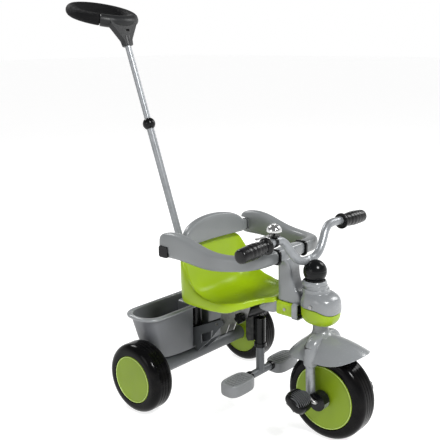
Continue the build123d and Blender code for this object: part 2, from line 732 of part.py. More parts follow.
def star_knob(radius, thickness, stud_radius, stud_length):
    """A lobed clamp knob with its stud, axis along +X from the origin outward."""
    lobes = Cylinder(radius * 0.8, thickness)
    for turn in range(5):
        angle = math.radians(72 * turn)
        lobes += Pos(radius * 0.66 * math.cos(angle), radius * 0.66 * math.sin(angle), 0) * Cylinder(radius * 0.34, thickness)
    lobes = Pos(0, 0, thickness / 2) * lobes
    stud = Pos(0, 0, -stud_length / 2 + 1) * Cylinder(stud_radius, stud_length + 2)
    return Rot(0, 90, 0) * (lobes + stud)


def seat_mount():
    """Two steel cheeks that hang from the seat's floor and straddle the beam."""
    outline = [
        (236, seat_floor_z - seat_gap),
        (334, seat_floor_z - seat_gap),
        (343, beam_z(343) + 6),
        (343, beam_z(343) - 34),
        (322, beam_z(322) - 34),
        (312, beam_z(312) - 14),
        (252, beam_z(252) - 15),
    ]
    cheeks = []
    for side in (-1, 1):
        near = side * (beam_radius + 0.4)
        far = side * (beam_radius + 3.4)
        cheek = side_slab(outline, min(near, far), max(near, far))
        flange = block(min(near, side * (beam_radius + 22)), max(near, side * (beam_radius + 22)), 236, 334,
                       seat_floor_z - seat_gap - 3, seat_floor_z - seat_gap)
        cheek += flange
        cheek -= Pos(0, seat_knob_y, seat_knob_z) * Rot(0, 90, 0) * Cylinder(3 + running_fit, 200)
        cheeks += cheek.solids()
    save("seat_mount", Compound(cheeks))
    knob = star_knob(14, 14, 3, 3.2)
    place = Pos(-(beam_radius + 3.4 + 0.3), seat_knob_y, seat_knob_z) * Rot(0, 0, 180)
    save("seat_knob", place * knob)


# ---- push bar -------------------------------------------------------------------------------
socket_low_z = rear_axle_z + housing_radius + 0.3
socket_high_z = 300
collar_station = 487
bar_bore = bar_upper_radius + slide_fit
bar_knob_station = 31


def along_bar(distance):
    return bar_bend + lean_direction * distance


def push_bar():
    """Socket on the axle housing, bent lower tube, twist collar and telescoping upper tube."""
    socket_top = along_bar(bar_knob_station + 22)
    points = [(0, bar_bend.Y, socket_low_z), tuple(bar_bend), tuple(socket_top)]
    socket = bent_tube(points, [40], socket_outer)
    tube_points = [(0, bar_bend.Y, socket_low_z + 4), tuple(bar_bend), tuple(along_bar(collar_station))]
    tube = bent_tube(tube_points, [40], bar_outer, bar_bore)
    socket -= bent_tube(tube_points, [40], bar_outer + 0.05)
    knob_point = along_bar(bar_knob_station)
    outward = Vector(0, math.cos(lean), -math.sin(lean))
    stud_room = rod(knob_point, knob_point + outward * 40, 3 + running_fit)
    save("push_bar_socket", (socket - stud_room).solids().sort_by(SortBy.VOLUME)[-1])
    save("push_bar_lower", tube - stud_room)
    knob = star_knob(13, 14, 3, 7)
    face = Plane(origin=knob_point + outward * (socket_outer + seat_gap), x_dir=outward, z_dir=lean_direction)
    save("bar_knob", face * knob)
    collar_place = Plane(origin=along_bar(collar_station + 9), z_dir=lean_direction)
    collar = collar_place * (Sphere(17.5) & Cylinder(20, 30))
    collar -= collar_place * Cylinder(bar_upper_radius + slide_fit, 60)
    collar -= rod(along_bar(collar_station - 20), along_bar(collar_station + seat_gap), bar_outer + running_fit)
    save("bar_collar", collar)
    upper_end = bar_top + lean_direction * 20
    upper = rod(along_bar(collar_station - 75), upper_end, bar_upper_radius, bar_upper_radius - tube_wall)
    save("push_bar_upper", upper)


yoke_half_angle = 42


def handle():
    """Foam-covered steering ring on a moulded fork-shaped yoke."""
    place = Plane(origin=ring_centre, x_dir=(1, 0, 0), z_dir=(0, -math.sin(ring_plane_tilt), math.cos(ring_plane_tilt)))
    core = place * Torus(ring_radius, 5)
    save("handle_core", core)
    gap_angle = 0.3
    foam_arc = 360 - 2 * (yoke_half_angle + gap_angle)
    section = Pos(ring_radius, 0) * Circle(ring_tube_radius) - Pos(ring_radius, 0) * Circle(5.05)
    foam = revolve(Plane.XZ * section, axis=Axis.Z, revolution_arc=foam_arc)
    foam = Rot(0, 0, -90 + yoke_half_angle + gap_angle) * foam
    save("handle_foam", place * foam)
    sleeve_section = Pos(ring_radius, 0) * Circle(ring_tube_radius + 1) - Pos(ring_radius, 0) * Circle(5.05)
    sleeve = revolve(Plane.XZ * sleeve_section, axis=Axis.Z, revolution_arc=2 * yoke_half_angle)
    sleeve = place * (Rot(0, 0, -90 - yoke_half_angle) * sleeve)
    ring_front = place.from_local_coords(Vector(0, -ring_radius, 0))
    rise = ring_front - bar_top
    plate_plane = Plane(origin=bar_top, x_dir=(1, 0, 0), z_dir=Vector(1, 0, 0).cross(rise))
    reach = rise.length
    outline = [(-12, -4), (12, -4), (15, 12), (46, reach - 6), (46, reach + 6), (-46, reach + 6), (-46, reach - 6), (-15, 12)]
    web = extrude(plate_plane * Polygon(*outline, align=None), amount=9, both=True)
    web -= place * Torus(ring_radius, ring_tube_radius + 0.5)
    web = web.solids().sort_by(SortBy.VOLUME)[-1]
    for hole_y in (20, 38):
        hole = plate_plane * Pos(6 if hole_y > 30 else -2, hole_y) * SlotOverall(13, 7)
        web -= extrude(hole, amount=20, both=True)
    web -= place * Cylinder(ring_radius - ring_tube_radius, 200)
    yoke = sleeve + web
    yoke += rod(bar_top - lean_direction * 4, bar_top + lean_direction * 22, 13)
    yoke -= rod(bar_top - lean_direction * 9, bar_top + lean_direction * 20.1, bar_upper_radius + 0.05)
    save("handle_yoke", yoke.solids().sort_by(SortBy.VOLUME)[-1])


# ---- basket ---------------------------------------------------------------------------------
basket_front_y = wheelbase - 15
basket_floor_z = rear_axle_z + housing_radius + seat_gap
basket_taper = 34
notch_half = 29
notch_depth = 56


def basket():
    """Open rear basket with a bay in its front wall for the push bar's socket."""
    def body_solid(inset):
        low = RectangleRounded(basket_width - 2 * basket_taper - 2 * inset, basket_depth - 14 - 2 * inset, 26 - inset)
        high = RectangleRounded(basket_width - 2 * inset, basket_depth - 2 * inset, 40 - inset)
        low_face = Pos(0, basket_front_y + (basket_depth - 14) / 2, basket_floor_z + inset) * low
        high_face = Pos(0, basket_front_y + basket_depth / 2, basket_floor_z + basket_height) * high
        return loft([low_face, high_face])

    def bay(grow):
        return block(-notch_half - grow, notch_half + grow, basket_front_y - 30,
                     basket_front_y + notch_depth + grow, 60, 400)

    outer = body_solid(0)
    rim_plan = RectangleRounded(basket_width + 14, basket_depth + 12, 46)
    rim_low = basket_floor_z + basket_height - 8
    outer += extrude(Pos(0, basket_front_y + basket_depth / 2, rim_low) * rim_plan, amount=8)
    body = (outer - bay(0)) - (body_solid(shell) - bay(shell))
    save("basket", body)


# ---- footrest ---------------------------------------------------------------------------------
rest_y = 219
rest_tube_radius = 11
rest_bar_z = 98
rest_bar_radius = 10
sleeve_low_z = 168
sleeve_high_z = 248
rest_travel = 18
pad_inner_x = 46
pad_outer_x = 139
pad_top_z = 101
pad_thickness = 26


def footrest():
    plate = side_slab([(233, 182), (252, 176), (258, 186), (258, beam_z(258) - beam_radius - 0.1),
                       (233, beam_z(233) - beam_radius - 0.1)], -11, 11)
    plate += block(-8, 8, rest_y + 13.6, 240, 196, 226)
    save("footrest_bracket", plate - rod((0, 190, beam_z(190)), (0, 330, beam_z(330)), beam_radius + 0.08))
    sleeve = rod((0, rest_y, sleeve_low_z), (0, rest_y, sleeve_high_z - 2), rest_tube_radius + 2.5)
    sleeve += rod((0, rest_y, sleeve_low_z), (0, rest_y, sleeve_low_z + 10), rest_tube_radius + 5)
    sleeve -= rod((0, rest_y, 100), (0, rest_y, 300), rest_tube_radius + slide_fit)
    save("footrest_sleeve", sleeve)
    post_top_z = sleeve_high_z - rest_travel - 6
    post = rod((0, rest_y, rest_bar_z), (0, rest_y, post_top_z), rest_tube_radius, rest_tube_radius - tube_wall)
    post += rod((-pad_inner_x + 6, rest_y, rest_bar_z), (pad_inner_x - 6, rest_y, rest_bar_z), rest_bar_radius)
    post += rod((-pad_outer_x + 22, rest_y, rest_bar_z), (pad_outer_x - 22, rest_y, rest_bar_z), 5)
    save("footrest_post", post)
    caps = []
    for side in (-1, 1):
        cap = rod((side * (pad_inner_x - 7), rest_y, rest_bar_z), (side * (pad_inner_x - 0.4), rest_y, rest_bar_z), 12.5)
        cap -= rod((side * 20, rest_y, rest_bar_z), (side * (pad_inner_x - 6), rest_y, rest_bar_z), rest_bar_radius + 0.05)
        cap -= rod((side * 20, rest_y, rest_bar_z), (side * 80, rest_y, rest_bar_z), 5.05)
        caps += cap.solids()
    save("footrest_caps", Compound(caps))
    plan = Pos((pad_inner_x + pad_outer_x) / 2, rest_y - 2, pad_top_z - pad_thickness)
    plan = plan * RectangleRounded(pad_outer_x - pad_inner_x, 58, 24)
    pad = extrude(plan, amount=pad_thickness)
    pad += rod((pad_inner_x, rest_y, rest_bar_z), (pad_inner_x + 14, rest_y, rest_bar_z), 11)
    pad -= rod((0, rest_y, rest_bar_z), (pad_outer_x - 21, rest_y, rest_bar_z), 5 + running_fit)
    save("foot_pad_left", pad)
    save("foot_pad_right", mirrored(pad))


# ---- fasteners ----------------------------------------------------------------------------------
def screw(x, y, z, side):
    """A pan head screw driven along X, its head outward on the given side."""
    head = rod((x, y, z), (x + side * 2.4, y, z), 4)
    slot = block(-60, 60, y - 0.6, y + 0.6, z - 3, z + 3) & rod((x + side * 1.2, y, z), (x + side * 5, y, z), 4.1)
    return head - slot


def screws():
    places = []
    for side in (-1, 1):
        places.append((side * (tunnel_half + 0.05), 121, 300, side))
        places.append((side * (hood_half + 0.05), 35, 330, side))
        places.append((side * (beam_radius + 3.45), 300, beam_z(300) + 22, side))
        places.append((side * (socket_outer + 4.05), wheelbase - 92, beam_z(wheelbase - 92), side))
    save("fixing_screws", Compound([screw(*place).solids()[0] for place in places]))


os.makedirs("parts", exist_ok=True)
front_wheel()
rear_wheels()
cranks()
pedals()
fork()
fork_bearings()
fender()
handlebar()
grips()
ball_cap()
bell()
main_frame()
head_bushes()
rear_frame()
front_covers()
front_post()
seat()
backrest_band()
arms()
seat_mount()
push_bar()
handle()
basket()
footrest()
screws()
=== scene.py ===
# %% [markdown]
# # A child's push tricycle
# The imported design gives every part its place, size and motion. This lesson gives it its looks.
# Stiff metal and turned parts keep their design shape and get a finish. Soft moulded shells are
# built again as smooth surfaces, because a moulded shell has no straight edges at all.

# %% Load the design
import json
import math
import bmesh
import bpy
from mathutils import Matrix, Vector


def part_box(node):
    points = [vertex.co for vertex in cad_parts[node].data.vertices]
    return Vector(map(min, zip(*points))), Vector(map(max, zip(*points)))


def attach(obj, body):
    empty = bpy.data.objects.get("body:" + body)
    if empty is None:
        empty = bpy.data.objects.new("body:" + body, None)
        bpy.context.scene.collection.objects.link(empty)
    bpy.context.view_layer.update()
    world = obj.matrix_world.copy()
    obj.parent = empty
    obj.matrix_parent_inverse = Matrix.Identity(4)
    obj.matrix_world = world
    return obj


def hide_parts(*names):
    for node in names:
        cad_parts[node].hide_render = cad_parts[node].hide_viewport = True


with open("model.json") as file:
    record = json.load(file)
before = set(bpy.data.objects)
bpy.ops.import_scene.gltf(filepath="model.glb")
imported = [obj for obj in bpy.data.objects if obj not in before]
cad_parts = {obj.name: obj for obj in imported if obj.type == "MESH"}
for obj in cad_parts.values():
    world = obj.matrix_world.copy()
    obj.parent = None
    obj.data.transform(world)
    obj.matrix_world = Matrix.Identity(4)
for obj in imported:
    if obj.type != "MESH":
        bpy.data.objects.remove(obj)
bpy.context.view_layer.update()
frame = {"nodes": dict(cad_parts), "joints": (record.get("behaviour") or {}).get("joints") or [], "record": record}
nodes = frame["nodes"]

# %% [markdown]
# Everything on a tricycle is laid out from its front axle, so that is the zero for lengths here.
# `mm` turns a point in millimetres, measured from the axle and the floor, into the scene's metres.

# %% Where the front axle is
tyre_low, tyre_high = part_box("front_tyre")
axle_y = (tyre_low.y + tyre_high.y) / 2


def mm(x, y, z):
    return Vector((x / 1000, axle_y + y / 1000, z / 1000))


def span(node):
    """A node's box in millimetres from the axle: lowest corner, then highest."""
    low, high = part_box(node)
    return [Vector((p.x * 1000, (p.y - axle_y) * 1000, p.z * 1000)) for p in (low, high)]


print("front axle at y =", round(axle_y, 4), "m")

# %% [markdown]
# A shader is a sum of masks. `Wire` wraps one socket, so that masks can be written as
# ordinary expressions, and its `node` method adds any other kind of node.

# %% Shader expressions
class Wire:
    def __init__(self, tree, socket=None):
        self.tree = tree
        self.socket = socket

    def node(self, kind, settings=None, inputs=None, output=0):
        made = self.tree.nodes.new("ShaderNode" + kind)
        for name, value in (settings or {}).items():
            if name == "stops":
                for stop, (place, grey) in zip(made.color_ramp.elements, value):
                    stop.position = place
                    stop.color = (grey, grey, grey, 1)
            else:
                setattr(made, name, value)
        for key, value in (inputs or {}).items():
            if isinstance(value, Wire):
                self.tree.links.new(value.socket, made.inputs[key])
            else:
                made.inputs[key].default_value = value
        return Wire(self.tree, made.outputs[output])

    def maths(self, operation, first, second):
        return self.node("Math", {"operation": operation}, {0: first, 1: second})

    def __add__(self, other):
        return self.maths("ADD", self, other)

    def __sub__(self, other):
        return self.maths("SUBTRACT", self, other)

    def __rsub__(self, other):
        return self.maths("SUBTRACT", other, self)

    def __mul__(self, other):
        return self.maths("MULTIPLY", self, other)

    __radd__ = __add__
    __rmul__ = __mul__

    def between(self, low, high):
        """A mask that rises from 0 at low to 1 at high."""
        return self.node("ValToRGB", {"stops": ((low, 0), (high, 1))}, {0: self})

    def blend(self, first, second):
        """The first colour where the mask is 0 and the second where it is 1."""
        return self.node("Mix", {"data_type": "RGBA"}, {0: self, 6: first, 7: second}, 2)


# %% [markdown]
# Colours are easier to judge as the 0 to 255 values that a paint card gives. The renderer wants
# linear light, so each value is converted once, here.

# %% Colour
def linear(value):
    value = value / 255
    return value / 12.92 if value <= 0.04045 else ((value + 0.055) / 1.055) ** 2.4


def colour(red, green, blue, gain=1.0):
    return (linear(red) * gain, linear(green) * gain, linear(blue) * gain, 1)


# %% [markdown]
# Moulded plastic is never one colour. It has a slow drift of shade from the melt, a fine
# orange-peel texture, hair scratches that dull the gloss, pale rubbed edges, and a little dust low
# down. One recipe with a few dials covers the hood, seat, basket and grips.

# %% The moulded plastic recipe
def finish_start(name):
    made = bpy.data.materials.new(name)
    made.use_nodes = True
    made.node_tree.nodes.clear()
    sheet = Wire(made.node_tree)
    return made, sheet, sheet.node("TexCoord", output="Object")


def finish_end(sheet, shader):
    out = sheet.tree.nodes.new("ShaderNodeOutputMaterial")
    sheet.tree.links.new(shader.socket, out.inputs["Surface"])


def noise(sheet, place, scale, detail=3, rough=0.55):
    return sheet.node("TexNoise", {}, {"Vector": place, "Scale": scale, "Detail": detail, "Roughness": rough})


def moulded(name, shade, rough, coat=0.0, grain=500, grain_depth=0.05,
            wear=0.25, dust=0.15, pits=0.0, shine=0.5):
    made, sheet, place = finish_start(name)
    drift = noise(sheet, place, 7, 2).between(0.35, 0.7)
    body = drift.blend(colour(*shade, 0.90), colour(*shade, 1.08))
    edge = sheet.node("NewGeometry", output="Pointiness").between(0.52, 0.60)
    rubbed = edge * noise(sheet, place, 60, 4).between(0.4, 0.62) * wear
    pale = [min(255, value + 55) for value in shade]
    body = rubbed.blend(body, colour(*pale))
    height = sheet.node("SeparateXYZ", {}, {0: place}, 2)
    low = 1 - height.between(0.02, 0.30)
    dusty = low * noise(sheet, place, 38, 5).between(0.45, 0.75) * dust
    body = dusty.blend(body, colour(128, 122, 112))
    streaks = sheet.node("Mapping", {}, {
        "Vector": place, "Rotation": (0.3, 0.5, 0.2), "Scale": (9, 160, 160)})
    scratch = noise(sheet, streaks, 4, 4, 0.7).between(0.60, 0.72)
    gloss = scratch * 0.10 + noise(sheet, place, 14, 3) * 0.08 + dusty * 0.25 + (rough - 0.04)
    skin_height = noise(sheet, place, grain, 3) + noise(sheet, place, 45, 1) * 2.0 - scratch * 0.25
    if pits:
        cells = sheet.node("TexVoronoi", {}, {"Vector": place, "Scale": pits})
        skin_height = skin_height + cells.between(0.0, 0.5) * 1.6
    bump = sheet.node("Bump", {}, {"Strength": grain_depth, "Distance": 0.0012, "Height": skin_height})
    shader = sheet.node("BsdfPrincipled", {}, {
        "Base Color": body, "Roughness": gloss, "Normal": bump,
        "Coat Weight": coat, "Coat Roughness": 0.08, "IOR": 1.49, "Specular IOR Level": shine,
    })
    finish_end(sheet, shader)
    return made


# %% [markdown]
# Metal comes in three finishes: powder coat, which is a paint with a fine pebble; zinc, which is
# a dull mirror with cloudy patches; and chrome, which only shows its age as faint smears.

# %% The metal recipe
def metal(name, shade, rough, metallic, cloud=0.1, grain_depth=0.03, wear=0.2, chip=(70, 68, 66)):
    made, sheet, place = finish_start(name)
    patches = noise(sheet, place, 18, 4)
    body = patches.between(0.3, 0.75).blend(colour(*shade, 0.88), colour(*shade, 1.10))
    edge = sheet.node("NewGeometry", output="Pointiness").between(0.53, 0.60)
    chipped = edge * noise(sheet, place, 120, 4).between(0.50, 0.60) * wear
    body = chipped.blend(body, colour(*chip))
    rubs = sheet.node("Mapping", {}, {"Vector": place, "Scale": (140, 140, 12)})
    gloss = noise(sheet, rubs, 4, 4) * cloud + patches * cloud + (rough - cloud)
    bump = sheet.node("Bump", {}, {"Strength": grain_depth, "Distance": 0.0008,
                                   "Height": noise(sheet, place, 700, 2) + patches})
    shader = sheet.node("BsdfPrincipled", {}, {
        "Base Color": body, "Roughness": gloss, "Metallic": metallic, "Normal": bump})
    finish_end(sheet, shader)
    return made


# %% [markdown]
# Each record slot gets its own finish, and two more are for small pieces. The pedal ribs get a lighter
# grey, a painted highlight along each rib, and the bead round each wheel cover a pale green, a painted
# highlight on the cover's edge. The other shades are those of the real mouldings: lime green seat and
# wheels, mid grey covers, a darker basket and near-black tyres that shine like wet paint. The twist collar
# is black, and the rear hubs are green like the wheel covers.

# %% All the finishes
finishes = {
    "tyre_plastic": moulded("tyre_gloss_black", (8, 8, 9), 0.13, 0.0, 300, 0.06, 0.03, 0.03, shine=0.09),
    "wheel_green": moulded("wheel_green", (116, 139, 18), 0.36, 0.0, 420, 0.06, 0.15, 0.05, shine=0.3),
    # A lighter grey for the pedal ribs: a painted highlight along each rib.
    "tread_painted_highlight": moulded("tread_painted_highlight", (66, 68, 70), 0.34, 0.0, 600, 0.08, 0.10, 0.0),
    # A pale green for the bead round each wheel cover: a painted highlight on the cover's edge.
    "bead_painted_highlight": moulded("bead_painted_highlight", (178, 200, 110), 0.30, 0.2, 420, 0.03, 0.05, 0.0),
    "body_green": moulded("seat_green", (140, 167, 6), 0.34, 0.05, 420, 0.05, 0.20, 0.03, shine=0.35),
    "grey_plastic": moulded("cover_grey", (124, 127, 129), 0.26, 0.35, 420, 0.05, 0.15, 0.04),
    "arm_grey": moulded("arm_grey", (114, 117, 118), 0.36, 0.1, 520, 0.07, 0.15, 0.0),
    "basket_grey": moulded("basket_grey", (98, 100, 104), 0.40, 0.0, 650, 0.16, 0.25, 0.08),
    "black_plastic": moulded("black_plastic", (12, 13, 14), 0.20, 0.0, 600, 0.08, 0.10, 0.03, shine=0.2),
    "grip_rubber": moulded("grip_rubber", (12, 12, 13), 0.26, 0.0, 800, 0.14, 0.08, 0.0, shine=0.3),
    "foam_black": moulded("foam_black", (14, 14, 15), 0.70, 0.0, 900, 0.50, 0.08, 0.0, 620, 0.12),
    "yoke_black": moulded("yoke_black", (24, 25, 26), 0.40, 0.0, 600, 0.12, 0.15, 0.0, shine=0.3),
    "pad_grey": moulded("pad_grey", (112, 114, 116), 0.42, 0.0, 700, 0.20, 0.25, 0.10),
    "bush_nylon": moulded("bush_nylon", (196, 195, 188), 0.45, 0.0, 500, 0.06, 0.10, 0.05),
    "silver_paint": metal("silver_powder", (136, 139, 142), 0.34, 0.45, 0.06, 0.08),
    "frame_black": metal("frame_powder", (26, 27, 28), 0.40, 0.15, 0.08, 0.12, 0.2, (90, 88, 84)),
    "axle_grey": metal("axle_powder", (84, 87, 90), 0.42, 0.25, 0.08, 0.10),
    "zinc_steel": metal("zinc_steel", (168, 168, 166), 0.34, 0.95, 0.12, 0.05),
    "bell_chrome": metal("bell_chrome", (226, 226, 226), 0.10, 1.0, 0.05, 0.01, 0.1, (150, 150, 148)),
}
slot_of = {part["node"]: part["material_slot"] for part in frame["record"]["subparts"]}
for name, node in nodes.items():
    node.data.materials.clear()
    node.data.materials.append(finishes[slot_of[name]])
nodes["bar_collar"].data.materials[0] = finishes["black_plastic"]
for name in ("rear_hub_left", "rear_hub_right"):
    nodes[name].data.materials[0] = finishes["wheel_green"]
print(len(finishes), "finishes on", len(nodes), "nodes")

# %% [markdown]
# The smooth shells are all made the same way: a row of rings of points is joined into a skin, and
# a subdivision surface rounds it. Two rings close together make a crisp step, and two far apart
# a soft one, so the spacing of the rings is the whole art.

# %% Rings, skins and pieces
def show(name, mesh, body, slot, stands_for=(), smooth=2, finish=None):
    """Puts a mesh in the scene as a finished piece of one body."""
    piece = bpy.data.objects.new(name, mesh)
    bpy.context.scene.collection.objects.link(piece)
    mesh.materials.clear()
    mesh.materials.append(finishes[finish or slot])
    mesh.polygons.foreach_set("use_smooth", [True] * len(mesh.polygons))
    if smooth:
        rounded = piece.modifiers.new("rounded", "SUBSURF")
        rounded.levels = smooth
        rounded.render_levels = smooth
    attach(piece, body)
    if stands_for:
        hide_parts(*stands_for)
    print(name, "has", len(mesh.polygons), "faces before rounding")
    return piece


def skin(name, rings, loop=True, close_ends=True):
    """Joins rings with the same number of points; loop joins each ring's last point to its first."""
    shape = bmesh.new()
    rows = [[shape.verts.new(point) for point in ring] for ring in rings]
    count = len(rows[0])
    for row, after in zip(rows, rows[1:]):
        for i in range(count if loop else count - 1):
            j = (i + 1) % count
            shape.faces.new((row[i], row[j], after[j], after[i]))
    if loop and close_ends:
        for row in (rows[0], rows[-1]):
            middle = shape.verts.new(sum((v.co for v in row), Vector()) / count)
            for i in range(count):
                shape.faces.new((row[i], row[(i + 1) % count], middle))
    bmesh.ops.remove_doubles(shape, verts=shape.verts, dist=0.00001)
    bmesh.ops.recalc_face_normals(shape, faces=shape.faces)
    mesh = bpy.data.meshes.new(name)
    shape.to_mesh(mesh)
    shape.free()
    return mesh


def oval(centre, across, up, width, height, power=2.0, count=24):
    """A ring between an ellipse, at power 2, and a rectangle, at a high power."""
    ring = []
    for i in range(count):
        angle = 2 * math.pi * i / count
        c, s = math.cos(angle), math.sin(angle)
        x = math.copysign(abs(c) ** (2 / power), c) * width / 2
        y = math.copysign(abs(s) ** (2 / power), s) * height / 2
        ring.append(centre + across * (x / 1000) + up * (y / 1000))
    return ring


def turned(origin, direction, profile, count=40):
    """Rings of a lathe-turned shape: (distance along, radius) pairs in millimetres."""
    direction = direction.normalized()
    side = direction.orthogonal().normalized()
    other = direction.cross(side)
    return [oval(origin + direction * (along / 1000), side, other, 2 * r, 2 * r, 2.0, count)
            for along, r in profile]


def side_word(side):
    return "left" if side > 0 else "right"


def between(table, value):
    """A value that eases from one (place, value) pair of a short table to the next."""
    if value <= table[0][0]:
        return table[0][1]
    for (a, low), (b, high) in zip(table, table[1:]):
        if value <= b:
            share = (value - a) / (b - a)
            share = share * share * (3 - 2 * share)
            return low + (high - low) * share
    return table[-1][1]


EAST = Vector((1, 0, 0))
NORTH = Vector((0, 1, 0))
UP = Vector((0, 0, 1))

# %% [markdown]
# The seat is one blow-moulded bucket: a flat floor, a lip that rolls over and hangs down as a
# skirt, a low front that narrows to a nose, and sides that climb to a tall back. Every meridian
# runs from the middle of the floor, up the wall, over the lip and down the skirt. The short
# tables give the half width, the lip's height and the floor's rise to the nose, along the seat.

# %% Seat
seat_low, seat_high = span("seat_shell")
seat_half = seat_high.x
seat_widths = [(seat_low.y, 24), (172, 33), (190, 62), (205, 88), (219, 104), (250, 124), (290, seat_half),
               (360, seat_half), (383, seat_half - 7), (392, seat_half - 22), (seat_high.y, seat_half - 46)]
seat_lip = [(seat_low.y, 321), (180, 317), (219, 311), (262, 309), (298, 314), (330, 325), (350, 345),
            (372, 382), (388, 412), (seat_high.y, seat_high.z)]
nose_ramp = [(140, 318), (160, 317), (206, 298), (232, 286)]
seat_floor = seat_low.z + 9
seat_middle_y = 300


def seat_plan(count):
    """Points round the seat's plan, evenly spaced, from the middle of the back."""
    right = []
    steps = 200
    for i in range(steps + 1):
        y = seat_high.y - (seat_high.y - seat_low.y) * i / steps
        right.append(Vector((between(seat_widths, y), y)))
    line = [Vector((0, seat_high.y))] + right + [Vector((0, seat_low.y))]
    lengths = [0]
    for a, b in zip(line, line[1:]):
        lengths.append(lengths[-1] + (b - a).length)
    half = []
    for i in range(count + 1):
        want = lengths[-1] * i / count
        k = next(k for k in range(1, len(line)) if lengths[k] >= want - 1e-9)
        share = (want - lengths[k - 1]) / max(1e-9, lengths[k] - lengths[k - 1])
        half.append(line[k - 1].lerp(line[k], share))
    return half + [Vector((-p.x, p.y)) for p in reversed(half[1:-1])]


def seat_ring(scale, height):
    """The plan shrunk about the floor's middle, at a share of the wall's height, or mm below the lip."""
    ring = []
    for p in plan:
        x = p.x * scale
        y = seat_middle_y + (p.y - seat_middle_y) * scale
        ridge = between([(18, 1), (75, 0)], abs(x))
        floor = seat_floor + ridge * max(0, between(nose_ramp, y) - seat_floor)
        lip = between(seat_lip, p.y)
        ring.append(mm(x, y, floor + (lip - floor) * height if height >= 0 else lip + height))
    return ring


plan = seat_plan(36)
seat_rings = [seat_ring(scale, height) for scale, height in (
    (0.01, 0), (0.2, 0), (0.42, 0.01), (0.6, 0.05), (0.74, 0.16), (0.84, 0.38), (0.895, 0.66), (0.925, 0.9),
    (0.945, 0.99), (0.97, 1.0), (0.99, -4), (1.0, -13))]
skirt_foot = [mm(p.x * 0.985, seat_middle_y + (p.y - seat_middle_y) * 0.985,
                 max(seat_low.z + 4, between(nose_ramp, p.y) - 3)) for p in plan]
skirt_turn = [mm(p.x * 0.93, seat_middle_y + (p.y - seat_middle_y) * 0.95,
                 max(seat_low.z + 1, between(nose_ramp, p.y) - 3)) for p in plan]
skirt_middle = [a.lerp(b, 0.55) + (a - mm(0, seat_middle_y, a.z * 1000)) * 0.004
                for a, b in zip(seat_rings[-1], skirt_foot)]
seat_mesh = skin("seat", seat_rings + [skirt_middle, skirt_foot, skirt_turn], close_ends=False)
seat = show("seat", seat_mesh, "frame", "body_green", ["seat_shell"])
thick = seat.modifiers.new("wall", "SOLIDIFY")
thick.thickness = 0.002
thick.offset = -1

# %% [markdown]
# The grey band over the back is a thick half-moon. Its face bows forward at both ends to meet
# the arms, where a flat stub and a hinge barrel carry each arm rail.

# %% Back band
band_high = span("backrest_band")[1]
band_half = 118
seam_z = seat_high.z + 0.4
band_rise = band_high.z - seam_z


def half_moon(share, y):
    """The band's outline, shrunk about its middle, on a face that bows towards the rider at its ends."""
    turns = (math.pi * i / 30 for i in range(31))
    line = [(band_half * math.cos(a), band_rise * math.sin(a) ** 0.62) for a in turns]
    line += [(-band_half + 2 * band_half * i / 14, 0) for i in range(1, 14)]
    middle = band_rise * 0.42
    ring = []
    for x, z in line:
        x *= share
        ring.append(mm(x, y - 10 * (x / band_half) ** 2, seam_z + middle + (z - middle) * share))
    return ring


moon = [half_moon(share, y) for share, y in (
    (0.02, 396), (0.5, 396), (0.9, 396), (0.975, 394), (1, 389), (1, 383), (0.982, 378), (0.94, 375.4),
    (0.86, 374.3), (0.6, 374), (0.3, 374), (0.02, 374))]
show("back_band", skin("back_band", moon), "frame", "arm_grey", ["backrest_band"])
stub_y = 384
hinge_x = next(j for j in frame["joints"] if j["name"] == "arm_left_swing")["pos_m"][0] * 1000
stub_z = 441
for side in (-1, 1):
    stub = [oval(mm(side * x, stub_y, stub_z + 0.2), NORTH, UP, 15.5, 27, 7) for x in (106, 107, 142, 143)]
    show("band_stub_" + side_word(side), skin("band_stub", stub), "frame", "arm_grey")
    clip = [oval(mm(side * x, stub_y, stub_z + 0.2), NORTH, UP, wide, tall, 7)
            for x, wide, tall in ((133.8, 16, 27), (134, 18, 29.6), (137, 18, 29.6), (137.2, 16, 27))]
    show("stub_clip_" + side_word(side), skin("stub_clip", clip), "frame", "black_plastic")
    barrel_foot = mm(side * hinge_x, stub_y, stub_z - 14.8)
    barrel = turned(barrel_foot, UP, [(0, 9.5), (0.6, 10.8), (29, 10.8), (29.6, 9.5)])
    show("hinge_barrel_" + side_word(side), skin("hinge_barrel", barrel), "frame", "grey_plastic")

# %% [markdown]
# An arm rail starts as a tall paddle at the back, sweeps forward and down, and slims to a rounded
# bar that turns in to the front clasp. A loft through oval sections that turn with the path gives
# that sweep. A slot is cut at the back, so the rail can swing out round its hinge.

# %% Arm rails
rail = [
    ((156, 410.5, 441), (0, -1, 0), 14, 34), ((157, 409, 441), (0, -1, 0), 22, 46),
    ((158, 403, 441), (0, -1, 0), 30, 58), ((158, 385, 443.5), (0, -1, 0), 34, 65),
    ((158, 350, 445.5), (0, -1, 0), 34, 66), ((158, 315, 441), (0, -1, 0), 34, 61),
    ((157.5, 285, 434.5), (0, -1, 0), 34, 54), ((156.5, 260, 430), (0.05, -1, 0), 33, 49),
    ((155, 235, 428), (0.1, -1, 0), 33, 44), ((151, 210, 428.5), (0.2, -1, 0), 33, 40),
    ((145, 187, 430), (0.35, -1, 0), 33, 37), ((134, 164, 432), (0.7, -1, 0), 33, 35.5),
    ((119, 147, 434), (1, -0.8, 0), 33, 34.5), ((101, 138, 435.5), (1, -0.3, 0), 33, 34),
    ((82, 134.5, 436.5), (1, -0.08, 0), 32.5, 33.5), ((67, 133.5, 437), (1, 0, 0), 32, 33),
    ((58, 133.5, 437), (1, 0, 0), 32, 33), ((56.5, 133.5, 437), (1, 0, 0), 30, 31),
]


def cutter(name, mesh):
    made = bpy.data.objects.new(name, mesh)
    bpy.context.scene.collection.objects.link(made)
    return made


